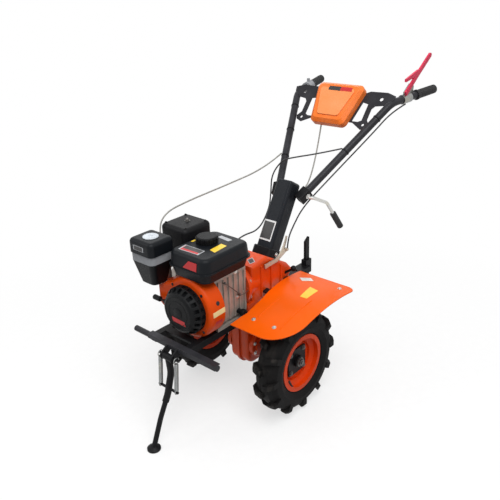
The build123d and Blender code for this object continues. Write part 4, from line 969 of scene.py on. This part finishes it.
class WEEDER_OT_stage(bpy.types.Operator):
    """Set a pale floor, a white surround and soft studio light"""

    bl_idname = "weeder.stage"
    bl_label = "Stage"

    def execute(self, context):
        sizes = context.scene.weeder_sizes
        context.scene.view_settings.view_transform = "Standard"
        self.surround(context)
        self.floor(context, sizes.floor_side)
        middle = (CAD_BOX[0] + CAD_BOX[1]) / 2
        lamps = (
            ("main_light", Vector((1.2, 1.6, 3.0)), 2.4, sizes.light_power),
            ("fill_light", Vector((2.2, -1.8, 1.8)), 1.6, sizes.light_power * 0.15),
            ("back_light", Vector((-2.2, -1.9, 1.7)), 2.2, sizes.light_power * 0.1),
        )
        for name, place, side, power in lamps:
            lamp = bpy.data.lights.new(name, "AREA")
            lamp.size = side
            lamp.energy = power
            holder = bpy.data.objects.new(name, lamp)
            holder.location = middle + place
            holder.visible_camera = False
            holder.rotation_euler = (-place).to_track_quat("-Z", "Y").to_euler()
            context.collection.objects.link(holder)
        return {"FINISHED"}

    def surround(self, context):
        """White where it is seen or mirrored; as a light, bright overhead and dim near the horizon."""
        world = bpy.data.worlds.new("studio")
        world.use_nodes = True
        tree = world.node_tree
        back = tree.nodes["Background"]
        back.inputs["Color"].default_value = WHITE
        white = looked_at(tree)
        coordinates = tree.nodes.new("ShaderNodeTexCoord")
        direction = Socket(tree, coordinates.outputs["Generated"])
        height = direction.make("ShaderNodeSeparateXYZ", {}, {0: direction}, "Z")
        sky = 0.1 + height.ramp(-0.1, 1.0) * 0.75
        white.feed(back.inputs["Strength"], sky + white * (1.0 - sky))
        context.scene.world = world

    def floor(self, context, side):
        """A wide flat floor that keeps the object's shadow near it."""
        shape = bmesh.new()
        bmesh.ops.create_grid(shape, x_segments=8, y_segments=8, size=side / 2)
        mesh = bpy.data.meshes.new("floor")
        shape.to_mesh(mesh)
        shape.free()
        made = bpy.data.materials.new("studio_floor")
        made.use_nodes = True
        tree = made.node_tree
        tree.nodes.remove(tree.nodes["Principled BSDF"])
        coordinates = tree.nodes.new("ShaderNodeTexCoord")
        place = Socket(tree, coordinates.outputs["Object"])
        looked = looked_at(tree)
        away = place.make("ShaderNodeVectorMath", {"operation": "LENGTH"}, {0: place}, "Value")
        far = away.ramp(0.7, 1.8)
        speckle = noise(place, 30.0)
        grey = 0.3 + looked * 0.6 + speckle.ramp(0.3, 0.7) * 0.04
        tone = place.make("ShaderNodeCombineColor", {}, {0: grey, 1: grey, 2: grey})
        matt = place.make("ShaderNodeBsdfDiffuse", {}, {"Color": tone})
        white = place.make("ShaderNodeEmission", {}, {"Color": WHITE, "Strength": 1.0})
        share = looked * (0.62 + far * 0.38)
        both = place.make("ShaderNodeMixShader", {}, {0: share, 1: matt, 2: white})
        place.feed(tree.nodes["Material Output"].inputs["Surface"], both)
        mesh.materials.append(made)
        floor = bpy.data.objects.new("floor", mesh)
        floor.location = (AXLE.x, 0.0, -0.001)
        context.collection.objects.link(floor)


class WEEDER_OT_finishes(bpy.types.Operator):
    """Make the finishes and give them to the solids"""

    bl_idname = "weeder.finishes"
    bl_label = "Finishes"

    def execute(self, context):
        c = context.scene.weeder_colours
        FINISHES.update({
            "orange_paint": gloss_paint("orange_gloss_paint", c.orange),
            # a darker, redder copy of the orange paint: painted shade on the shroud's side
            "shaded_shroud_paint": gloss_paint("shaded_shroud_paint", srgb(222, 74, 8), 0.34),
            "rim_paint": gloss_paint("rim_paint", srgb(224, 66, 12), 0.3),
            "orange_casting": cast_paint("orange_cast_paint", c.casting),
            "black_paint": satin_paint("black_satin_paint", c.black),
            # the black paint four times lighter: painted sheen on the handlebars, the bumper and the console
            # bracket
            "painted_sheen_black": satin_paint("handlebar_sheen_paint", shade(c.black, 4.0), 0.26),
            "column_paint": moulding("column_finish", srgb(27, 30, 35), 0.28, 700.0),
            "black_plastic": moulding("black_moulding", c.plastic, 0.36),
            "tank_plastic": moulding("tank_moulding", srgb(19, 22, 26), 0.3, 700.0),
            "orange_plastic": self.console(c),
            "cast_aluminium": cast_metal("cast_aluminium_finish", srgb(176, 168, 160)),
            "plated_steel": plated_metal("zinc_plate", srgb(206, 206, 204)),
            "spring_steel": plated_metal("spring_wire", srgb(150, 152, 152), 0.34),
            "dark_bolt": plated_metal("dark_bolts", srgb(104, 102, 100), 0.36, (0.12, 0.1, 0.09)),
            "cream_metal": plated_metal("passivated_sheet", srgb(198, 190, 176), 0.4, (0.5, 0.42, 0.34)),
            "grey_plastic": moulding("grey_moulding", srgb(150, 152, 156)),
            "red_plastic": moulding("red_moulding", c.lever, 0.28, 800.0),
            "dark_steel": hot_metal("exhaust_sheet", srgb(58, 58, 62)),
            "tyre_rubber": tyre_rubber("tyre_rubber_finish", srgb(20, 19, 19)),
            "grip_rubber": soft_rubber("grip_rubber_finish", srgb(20, 20, 21)),
            "grey_cable": cable_sheath("grey_sheath", srgb(150, 148, 142)),
            "black_cable": cable_sheath("black_sheath", srgb(34, 34, 35)),
            "yellow_sticker": blank_sticker("yellow_vinyl", srgb(240, 200, 40)),
            "silver_sticker": blank_sticker("silver_vinyl", srgb(176, 178, 182)),
            "red_sticker": blank_sticker("red_vinyl", srgb(196, 30, 34)),
            "dark_sticker": blank_sticker("dark_vinyl", srgb(44, 42, 42)),
            "white_sticker": blank_sticker("white_vinyl", srgb(226, 226, 226)),
            "cream_sticker": blank_sticker("cream_vinyl", srgb(244, 222, 160)),
            "pale_plastic": moulding("pale_moulding", srgb(206, 212, 218), 0.3),
        })
        own = {
            "half_shaft_left": "dark_bolt",
            "half_shaft_right": "dark_bolt",
            "shift_lever": "cream_metal",
            "clutch_bracket": "spring_steel",
            # bumper and console bracket take the lighter black with its painted sheen
            "front_bumper": "painted_sheen_black",
            "console_bracket": "painted_sheen_black",
            "handle_column": "column_paint",
            "rim_left": "rim_paint",
            "rim_right": "rim_paint",
            "handlebar_left": "painted_sheen_black",
            "handlebar_right": "painted_sheen_black",
            # the shroud takes the darker orange with its painted shade
            "fan_shroud": "shaded_shroud_paint",
            "fuel_tank": "tank_plastic",
            "air_cleaner_cover": "tank_plastic",
        }
        for row in frame["record"]["subparts"]:
            node = NODES[row["node"]]
            look = own.get(row["node"], row["material_slot"])
            node.data.materials.clear()
            node.data.materials.append(finish(look))
        return {"FINISHED"}

    def console(self, colours):
        """The console cover's orange, with its raised panel paler as a painted sheen."""
        lean = math.radians(CONSOLE_LEAN)
        facing = Vector((math.sin(lean), 0.0, math.cos(lean)))
        face = touch("console_cover", at(*CONSOLE_MID), -facing)[0]
        return sheen_panel_moulding("console_finish", colours.console, colours.panel, face, facing)


class WEEDER_OT_cables(bpy.types.Operator):
    """Run the four cables from the handles to the engine, the gear case and the column"""

    bl_idname = "weeder.cables"
    bl_label = "Cables"

    def execute(self, context):
        rows = (
            ("throttle_cable", THROTTLE_CABLE, "grey_cable", "medium"),
            ("stop_wire", STOP_WIRE, "black_cable", "medium"),
            ("console_wire", CONSOLE_WIRE, "grey_cable", "medium"),
            ("clutch_cable", CLUTCH_CABLE, "black_cable", "stiff"),
        )
        for name, route, look, stiffness in rows:
            places = [at(*place) for place in route]
            curve = smooth_curve(name + "_line", places)
            made = bpy.data.objects.new(name + "_line", curve)
            context.collection.objects.link(made)
            length = self.length(made)
            curve.bevel_depth = CABLE_R * MM
            curve.bevel_resolution = 4
            curve.use_fill_caps = True
            curve.materials.append(finish(look))
            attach(made, "chassis")
            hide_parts(name)
        return {"FINISHED"}

    def length(self, made):
        """Length along a curve that has no section yet."""
        graph = bpy.context.evaluated_depsgraph_get()
        line = bpy.data.meshes.new_from_object(made.evaluated_get(graph))
        spots = [v.co for v in line.vertices]
        bpy.data.meshes.remove(line)
        return sum((b - a).length for a, b in zip(spots, spots[1:]))


class WEEDER_OT_fasteners(bpy.types.Operator):
    """Put bolts, nuts and screws on the wheels, the gear case, the engine, the fenders and the handles"""

    bl_idname = "weeder.fasteners"
    bl_label = "Fasteners"

    def execute(self, context):
        sizes = context.scene.weeder_sizes
        for side, body in zip(SIDES, ("wheel_left", "wheel_right")):
            self.heads(body + "_bolts", self.wheel(side, sizes), "dark_bolt", "plated_steel", body, 0.9, 1.3)
        self.heads("bolts", self.chassis(sizes), "plated_steel", "plated_steel")
        self.heads("dark_bolts", self.dark(sizes), "black_paint", "black_paint")
        return {"FINISHED"}

    def heads(self, name, rows, look, slot, body="chassis", head=0.75, washer=1.35):
        """Hexagon heads on their places, as one piece."""
        tree = hex_head_tree(name + "_heads", look, head, washer)
        mesh = on_places(name, tree, rows, {"Head height": head, "Washer radius": washer})
        piece(name, mesh, look, body, 30.0)

    def wheel(self, side, sizes):
        """Four hub bolts and the axle nut of one wheel."""
        out = (0.0, side, 0.0)
        rows = []
        for sx in SIDES:
            for sz in SIDES:
                spot = at(sx * HUB_BOLT_REACH, side * HUB_FACE, AXLE.z / MM + sz * HUB_BOLT_REACH)
                rows.append((spot, out, sizes.hub_bolt))
        rows.append((at(0, side * HUB_TUBE_END, AXLE.z / MM), out, sizes.hub_bolt * AXLE_NUT))
        return rows

    def chassis(self, sizes):
        """Bright bolts of the gear case, the engine, the fenders, the bar clamps and the column."""
        rows = []
        for side, fender in zip(SIDES, FENDERS):
            for along, up in bolt_circle(CAP_BOLTS, CAP_BOLT_R):
                spot = at(along, side * CAP_FACE, AXLE.z / MM + up)
                rows.append((spot, (0, side, 0), sizes.case_bolt))
            for x, y in FENDER_BOLTS[fender]:
                spot, normal = touch(fender, at(x, side * y, FENDER_HIGH), DOWN)
                rows.append((spot, normal, sizes.case_bolt))
                rows.append((spot - normal * FENDER_SHEET * MM, -normal, sizes.case_bolt))
        for across, up in bolt_circle(BELL_BOLTS, BELL_BOLT_R):
            rows.append((at(BELL_FACE, CRANK[0] + across, CRANK[1] + up), BACK, sizes.case_bolt))
        for x, z in CRANKCASE_BOLTS:
            rows.append((*touch("crankcase", at(x, CRANKCASE_LEFT, z), RIGHT), sizes.case_bolt))
        for x, y, z in CLAMP_NUTS:
            inward = (0, -math.copysign(1, y), 0)
            rows.append((*touch("handlebar_clamp", at(x, y, z), inward), sizes.hub_bolt))
        for side in SIDES:
            start = along_column(COLUMN_BOLT_UP, 0.0, side * COLUMN_SIDE)
            rows.append((*touch("column_base", start, (0, -side, 0)), sizes.case_bolt))
        return rows

    def dark(self, sizes):
        """Black screws of the starter and the muffler guard."""
        rows = []
        for across, up in bolt_circle(STARTER_SCREWS, STARTER_SCREW_R):
            start = at(SHROUD_FRONT, CRANK[0] + across, CRANK[1] + up)
            rows.append((*touch("fan_shroud", start, BACK), sizes.trim_screw))
        for x, y in GUARD_SCREWS:
            rows.append((*touch("muffler_guard", at(x, y, GUARD_TOP), DOWN), sizes.trim_screw))
        return rows


class WEEDER_OT_springs(bpy.types.Operator):
    """Wind the two pull springs of the stand"""

    bl_idname = "weeder.springs"
    bl_label = "Stand springs"

    def execute(self, context):
        sizes = context.scene.weeder_sizes
        top = Vector((PIVOT.x, 0.0, PIVOT.z))
        foot = at(*SPRING_PIN)
        lean = (foot - top).normalized()
        head_eye, pin_eye = (radius * MM for radius in SPRING_EYES)
        run = (foot - top).length - head_eye - pin_eye
        coil = (SPRING_R - SPRING_WIRE) * MM
        spread = SPRING_Y * MM
        rows = []
        for side in SIDES:
            start = top + Vector((0, side * spread, 0)) + lean * head_eye
            rows.append((start, lean, 1.0))
        given = {
            "Turns": sizes.spring_turns,
            "Coil radius": coil,
            "Wire radius": SPRING_WIRE * MM,
            "Height": run,
        }
        tree = coil_tree("pull_springs", "spring_steel", sizes.spring_turns, coil, SPRING_WIRE * MM, run)
        mesh = on_places("pull_springs", tree, rows, given)
        shape = bmesh.new()
        shape.from_mesh(mesh)
        for side in SIDES:
            for end, radius in zip((top, foot), SPRING_EYES):
                hoop(shape, end + Vector((0, side * spread, 0)), (0, 1, 0), radius, SPRING_WIRE)
        made = add_piece("pull_springs", shape, "spring_steel", "stand", 60.0)
        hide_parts("stand_springs")
        return {"FINISHED"}


class WEEDER_OT_grips(bpy.types.Operator):
    """Make the ribbed grips of the handlebars"""

    bl_idname = "weeder.grips"
    bl_label = "Grips"

    def execute(self, context):
        ribs = context.scene.weeder_sizes.grip_ribs
        for side, name in zip(SIDES, ("grip_left", "grip_right")):
            end = on_side(BAR_END, side)
            back = (on_side(BAR_BEND, side) - end).normalized()
            shape = bmesh.new()
            lathe(shape, self.profile(ribs), end - back * GRIP_END * MM, back, 44)
            made = add_piece(name + "_ribbed", shape, "grip_rubber", bend=50.0)
            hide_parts(name)
        return {"FINISHED"}

    def profile(self, ribs):
        """From the closed end to the collar: rounded end, ribs, then a wide collar."""
        start, stop = GRIP_RIBBED
        step = (stop - start) / ribs
        ribbed = [(start + (k + share) * step, radius) for k in range(ribs) for share, radius in GRIP_RIB]
        return [*GRIP_TIP, *ribbed, *GRIP_COLLAR]


class WEEDER_OT_fender_trim(bpy.types.Operator):
    """Roll the fenders' edges, press their beads, and add their blank plates"""

    bl_idname = "weeder.fender_trim"
    bl_label = "Fender trim"

    def execute(self, context):
        for side, name in zip(SIDES, FENDERS):
            shape = bmesh.new()
            wire(shape, self.edge(name, side), FENDER_EDGE_R, 8)
            for y, start, stop in FENDER_BEADS:
                if side < 0 and y < FENDER_INSIDE[name][0] + 10:
                    continue
                spots = []
                for k in range(FENDER_BEAD_STEPS + 1):
                    x = start + (stop - start) * k / FENDER_BEAD_STEPS
                    spots.append(self.under(name, x, side * y, FENDER_BEAD_SUNK))
                wire(shape, spots, FENDER_BEAD_R, 12)
            add_piece(name + "_edge", shape, "orange_paint", bend=50.0)
        rows = (
            ("fender_blank_sticker", "yellow_sticker", "orange_plastic", 0.5,
             ((-154, 195), (-146, 238), (-71, 239), (-69, 209))),
            ("fender_blank_plate", "plated_steel", "plated_steel", 1.5,
             ((-196, 112), (-178, 138), (-208, 172), (-226, 146))),
        )
        for name, look, slot, thick, corners in rows:
            places = [(x, y, FENDER_HIGH) for x, y in corners]
            sticker(name, "fender_left", places, DOWN, look, thick)
        return {"FINISHED"}

    def edge(self, name, side):
        """Places along the front, outer and rear edges of a fender."""
        front_r, rear_r = FENDER_CORNERS
        inner_front, inner_rear = FENDER_INSIDE[name]
        flat = [(FENDER_FRONT, inner_front + FENDER_END)]
        flat += self.turn((FENDER_FRONT - front_r, FENDER_OUT - front_r), front_r, 0)
        flat += self.turn((FENDER_REAR + rear_r, FENDER_OUT - rear_r), rear_r, 90)
        flat.append((FENDER_REAR, inner_rear + FENDER_END))
        long = []
        for (x0, y0), (x1, y1) in zip(flat, flat[1:]):
            parts = max(1, int(math.hypot(x1 - x0, y1 - y0) / FENDER_EDGE_STEP))
            long += [(x0 + (x1 - x0) * k / parts, y0 + (y1 - y0) * k / parts) for k in range(parts)]
        long.append(flat[-1])
        spots = []
        for x, y in long:
            inset_x = min(max(x, FENDER_REAR + FENDER_INSET), FENDER_FRONT - FENDER_INSET)
            inset_y = min(y, FENDER_OUT - FENDER_INSET)
            spots.append(self.under(name, inset_x, side * inset_y, FENDER_SHEET / 2))
        return spots

    def turn(self, middle, radius, start):
        """A quarter turn in plan, from straight ahead towards the rear, just inside the edge."""
        steps = [math.radians(start + 90 * k / 10) for k in range(11)]
        reach = radius - FENDER_INSET
        return [(middle[0] + reach * math.cos(t), middle[1] + reach * math.sin(t)) for t in steps]

    def under(self, name, x, y, depth):
        """A place in plan, at a depth inside the sheet."""
        spot, normal = touch(name, at(x, y, FENDER_HIGH), DOWN)
        return spot - normal * depth * MM


class WEEDER_OT_engine_trim(bpy.types.Operator):
    """Add the engine's rings, plug, governor link, knob, cap nut, louvres and blank stickers"""

    bl_idname = "weeder.engine_trim"
    bl_label = "Engine trim"

    def execute(self, context):
        self.starter()
        self.shroud()
        self.governor()
        self.cleaner()
        self.guard()
        return {"FINISHED"}

    def starter(self):
        """Rings and a blank badge on the starter's face."""
        middle = at(STARTER_FACE, *CRANK)
        shape = bmesh.new()
        for radius in STARTER_RINGS:
            hoop(shape, middle, AHEAD, radius, STARTER_RING_WIRE, 64, 8)
        lathe(shape, STARTER_DISC, middle, AHEAD, 48)
        add_piece("starter_rings", shape, "black_plastic")
        badge = [(STARTER_FACE, y, z) for y, z in ((-46, 452), (18, 449), (22, 432), (-42, 435))]
        sticker("starter_blank_badge", "recoil_starter", badge, BACK, "red_sticker")

    def shroud(self):
        """A rubber plug and two blank stickers on the shroud's side."""
        spot, normal = touch("fan_shroud", at(*SHROUD_PLUG_PLACE), (0, -0.9, -0.3))
        shape = bmesh.new()
        lathe(shape, SHROUD_PLUG, spot, normal, 32)
        add_piece("shroud_plug", shape, "grip_rubber")
        pale = [(285, 103, 487), (227, 103, 489), (227, 103, 469), (285, 103, 467)]
        sticker("shroud_blank_sticker", "fan_shroud", pale, RIGHT, "cream_sticker")
        small = [(272, 99, 446), (238, 99, 447), (238, 99, 432), (272, 99, 431)]
        sticker("shroud_small_sticker", "fan_shroud", small, RIGHT, "red_sticker")

    def governor(self):
        """Governor rod, its return wire and its two posts on the open side of the crankcase."""
        shape = bmesh.new()
        wire(shape, [at(*place) for place in GOVERNOR_ROD], GOVERNOR_ROD_R)
        wire(shape, [at(*place) for place in GOVERNOR_WIRE], GOVERNOR_WIRE_R)
        for x, _, z in (GOVERNOR_ROD[0], GOVERNOR_ROD[-1]):
            spot = touch("crankcase", at(x, CRANKCASE_LEFT, z), RIGHT)[0]
            end = at(x, GOVERNOR_POST, z)
            reach = (end - spot).length / MM
            rows = [(0, 0), (0, 4.6), (reach - 2, 4.6), (reach - 1, 3), (reach, 2.4), (reach, 0)]
            lathe(shape, rows, spot, end - spot, 24)
        add_piece("governor_link", shape, "dark_bolt")

    def cleaner(self):
        """A pale knob on the air cleaner's cover and a blank plate on its front."""
        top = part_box("air_cleaner_cover")[1].z
        foot = at(*CLEANER_MID, top / MM)
        r = CLEANER_DISC_R
        rows = [(-1, 0), (-1, r), (1.6, r), (3.0, r - 2), (3.2, r - 6), (2.4, r - 7)]
        rows += [(2.4, 7), (5.5, 5.5), (6.5, 4), (6.5, 0)]
        shape = bmesh.new()
        lathe(shape, rows, foot, UP, 64)
        add_piece("cleaner_knob", shape, "pale_plastic")
        front = [(CLEANER_FRONT, y, z) for y, z in ((-203, 694), (-149, 694), (-149, 676), (-203, 676))]
        framed_plate("cleaner_blank_frame", "cleaner_blank_plate", "air_cleaner_cover", front, BACK,
                     "silver_sticker", 0.82, (0.7, 1.1))

    def guard(self):
        """A cap nut on top of the muffler guard and louvres on its right side."""
        spot, normal = touch("muffler_guard", at(*GUARD_NUT, GUARD_TOP), DOWN)
        shape = bmesh.new()
        for corners, rows in GUARD_NUT_PARTS:
            lathe(shape, rows, spot, normal, corners)
        add_piece("guard_nut", shape, "dark_bolt", bend=30.0)
        low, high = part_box("muffler_guard")
        places = []
        for k in range(LOUVRES):
            z = low.z + (high.z - low.z) * (LOUVRE_LOW + LOUVRE_STEP * k)
            start = Vector(((low.x + high.x) / 2, low.y, z))
            place, out = touch("muffler_guard", start, (0, 1, 0))
            places.append((place, out, 1.0))
        tree = slot_tree("guard_louvres", "black_paint", *LOUVRE.values())
        mesh = on_places("guard_louvres", tree, places, LOUVRE)
        piece("guard_louvres", mesh, "black_paint", "chassis", 40.0)


class WEEDER_OT_tank_trim(bpy.types.Operator):
    """Put blank plates and a blank badge on the fuel tank"""

    bl_idname = "weeder.tank_trim"
    bl_label = "Tank trim"

    def execute(self, context):
        rows = (
            ("tank_blank_plate", "silver_sticker", ((276, -63), (272, 31), (234, 27), (235, -69)), 0.6),
            ("tank_yellow_sticker", "yellow_sticker", ((216, 33), (222, 62), (155, 56), (153, 28)), 0.5),
            ("tank_small_sticker", "yellow_sticker", ((203, -76), (202, -66), (176, -66), (176, -76)), 0.5),
            ("tank_pale_sticker", "silver_sticker", ((116, -27), (122, 32), (104, 36), (98, -23)), 0.5),
        )
        for name, look, corners, thick in rows:
            places = [(x, y, TANK_TOP) for x, y in corners]
            sticker(name, "fuel_tank", places, DOWN, look, thick)
        band = shrunk([(x, y, TANK_TOP) for x, y in rows[0][2]], 0.86)
        sticker("tank_plate_band", "fuel_tank", band, DOWN, "red_sticker", 0.8)
        middle = [(x, y, TANK_TOP) for x, y in ((261, -56), (259, 26), (237, 23), (238, -60))]
        sticker("tank_plate_middle", "fuel_tank", middle, DOWN, "dark_sticker", 1.0)
        badge = [(TANK_FRONT, y, z) for y, z in ((-14, 638), (14, 668), (54, 668), (52, 638))]
        sticker("tank_blank_badge", "fuel_tank", badge, BACK, "red_sticker", 1.2)
        return {"FINISHED"}


class WEEDER_OT_column_trim(bpy.types.Operator):
    """Put a blank plate on the handle column and ties round the handlebars"""

    bl_idname = "weeder.column_trim"
    bl_label = "Column trim"

    def execute(self, context):
        lean = math.radians(COLUMN_LEAN)
        inward = Vector((-math.cos(lean), 0, -math.sin(lean)))
        corners = []
        for up, across in ((140, -34), (140, 26), (58, 26), (58, -34)):
            spot = along_column(up, COLUMN_HALF_D, across)
            corners.append(((spot.x - AXLE.x) / MM, spot.y / MM, spot.z / MM))
        framed_plate("column_blank_plate", "column_blank_middle", "handle_column", corners, inward,
                     "white_sticker", 0.84, (0.6, 0.9))
        self.ties()
        return {"FINISHED"}

    def ties(self):
        """Plastic ties along the handlebars, each of three turns."""
        shape = bmesh.new()
        for side, part in BAR_TIES:
            foot = on_side(BAR_FOOT, side)
            along = on_side(BAR_BEND, side) - foot
            middle = foot + along * part
            for step in TIE_STEPS:
                spot = middle + along.normalized() * step * MM
                hoop(shape, spot, along, BAR_R + TIE_PROUD, TIE_WIRE, 32, 8)
        add_piece("bar_ties", shape, "black_plastic")


class WEEDER_OT_console_trim(bpy.types.Operator):
    """Put a blank two-tone strip on the console"""

    bl_idname = "weeder.console_trim"
    bl_label = "Console trim"

    def execute(self, context):
        lean = math.radians(CONSOLE_LEAN)
        inward = Vector((-math.sin(lean), 0, -math.cos(lean)))
        rows = (             # y of the upper edge's ends
            ("console_blank_strip", -46, 11, "dark_sticker", "black_plastic"),
            ("console_red_strip", 11, 66, "red_sticker", "red_plastic"),
        )
        for name, right, left, look, slot in rows:
            corners = [(-613, right, 1122), (-613, left, 1122)]
            corners += [(-600, left + 4, 1106), (-600, right + 4, 1106)]
            sticker(name, "console_cover", corners, inward, look, 0.6)
        return {"FINISHED"}


class WEEDER_OT_case_trim(bpy.types.Operator):
    """Put a blank plate on the gear case and the upper branch on its shift lever"""

    bl_idname = "weeder.case_trim"
    bl_label = "Gear case trim"

    def execute(self, context):
        corners = [(x, y, CASE_TOP) for x, y in ((-4, 6), (-26, 14), (-8, 43), (14, 36))]
        framed_plate("case_blank_frame", "case_blank_plate", "transmission_case", corners, DOWN,
                     "silver_sticker", 0.8, (0.5, 0.8))
        shape = bmesh.new()
        rows = [(at(x, SHIFT_BRANCH_Y, z), half) for x, z, half in SHIFT_BRANCH]
        flat_bar(shape, rows, (0, 1, 0), SHIFT_BRANCH_T)
        add_piece("shift_branch", shape, "cream_metal", bend=40.0)
        return {"FINISHED"}


class WEEDER_OT_wheel_trim(bpy.types.Operator):
    """Add a tyre valve to each rim"""

    bl_idname = "weeder.wheel_trim"
    bl_label = "Wheel trim"

    def execute(self, context):
        x, out, up = VALVE_PLACE
        for side, body, rim in ((1, "wheel_left", "rim_left"), (-1, "wheel_right", "rim_right")):
            start = at(x, side * (WHEEL_MID + out), AXLE.z / MM + up)
            spot = touch(rim, start, (0, -side, 0))[0]
            shape = bmesh.new()
            lathe(shape, VALVE, spot, (VALVE_LEAN[0], side, VALVE_LEAN[1]), 20)
            add_piece(body + "_valve", shape, "grip_rubber", body, 40.0)
        return {"FINISHED"}


CLASSES = (
    WeederColours,
    WeederSizes,
    WEEDER_OT_camera,
    WEEDER_OT_stage,
    WEEDER_OT_finishes,
    WEEDER_OT_cables,
    WEEDER_OT_fasteners,
    WEEDER_OT_springs,
    WEEDER_OT_grips,
    WEEDER_OT_fender_trim,
    WEEDER_OT_engine_trim,
    WEEDER_OT_tank_trim,
    WEEDER_OT_column_trim,
    WEEDER_OT_console_trim,
    WEEDER_OT_case_trim,
    WEEDER_OT_wheel_trim,
)


class WEEDER_PT_panel(bpy.types.Panel):
    """The weeder's sizes, colours and steps"""

    bl_idname = "WEEDER_PT_panel"
    bl_label = "Power weeder"
    bl_space_type = "VIEW_3D"
    bl_region_type = "UI"
    bl_category = "Weeder"

    def draw(self, context):
        layout = self.layout
        for group in (context.scene.weeder_colours, context.scene.weeder_sizes):
            for name in group.__annotations__:
                layout.prop(group, name)
        for each in CLASSES:
            if issubclass(each, bpy.types.Operator):
                layout.operator(each.bl_idname)


def register():
    """Register the classes and the scene's settings."""
    for each in (*CLASSES, WEEDER_PT_panel):
        bpy.utils.register_class(each)
    bpy.types.Scene.weeder_colours = PointerProperty(type=WeederColours)
    bpy.types.Scene.weeder_sizes = PointerProperty(type=WeederSizes)


def unregister():
    """Remove the settings and the classes."""
    del bpy.types.Scene.weeder_sizes
    del bpy.types.Scene.weeder_colours
    for each in reversed((*CLASSES, WEEDER_PT_panel)):
        bpy.utils.unregister_class(each)


def main():
    """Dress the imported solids."""
    register()
    bpy.ops.weeder.camera()
    bpy.ops.weeder.stage()
    bpy.ops.weeder.finishes()
    bpy.ops.weeder.cables()
    bpy.ops.weeder.fasteners()
    bpy.ops.weeder.springs()
    bpy.ops.weeder.grips()
    bpy.ops.weeder.fender_trim()
    bpy.ops.weeder.engine_trim()
    bpy.ops.weeder.tank_trim()
    bpy.ops.weeder.column_trim()
    bpy.ops.weeder.console_trim()
    bpy.ops.weeder.case_trim()
    bpy.ops.weeder.wheel_trim()


if __name__ == "__main__":
    main()
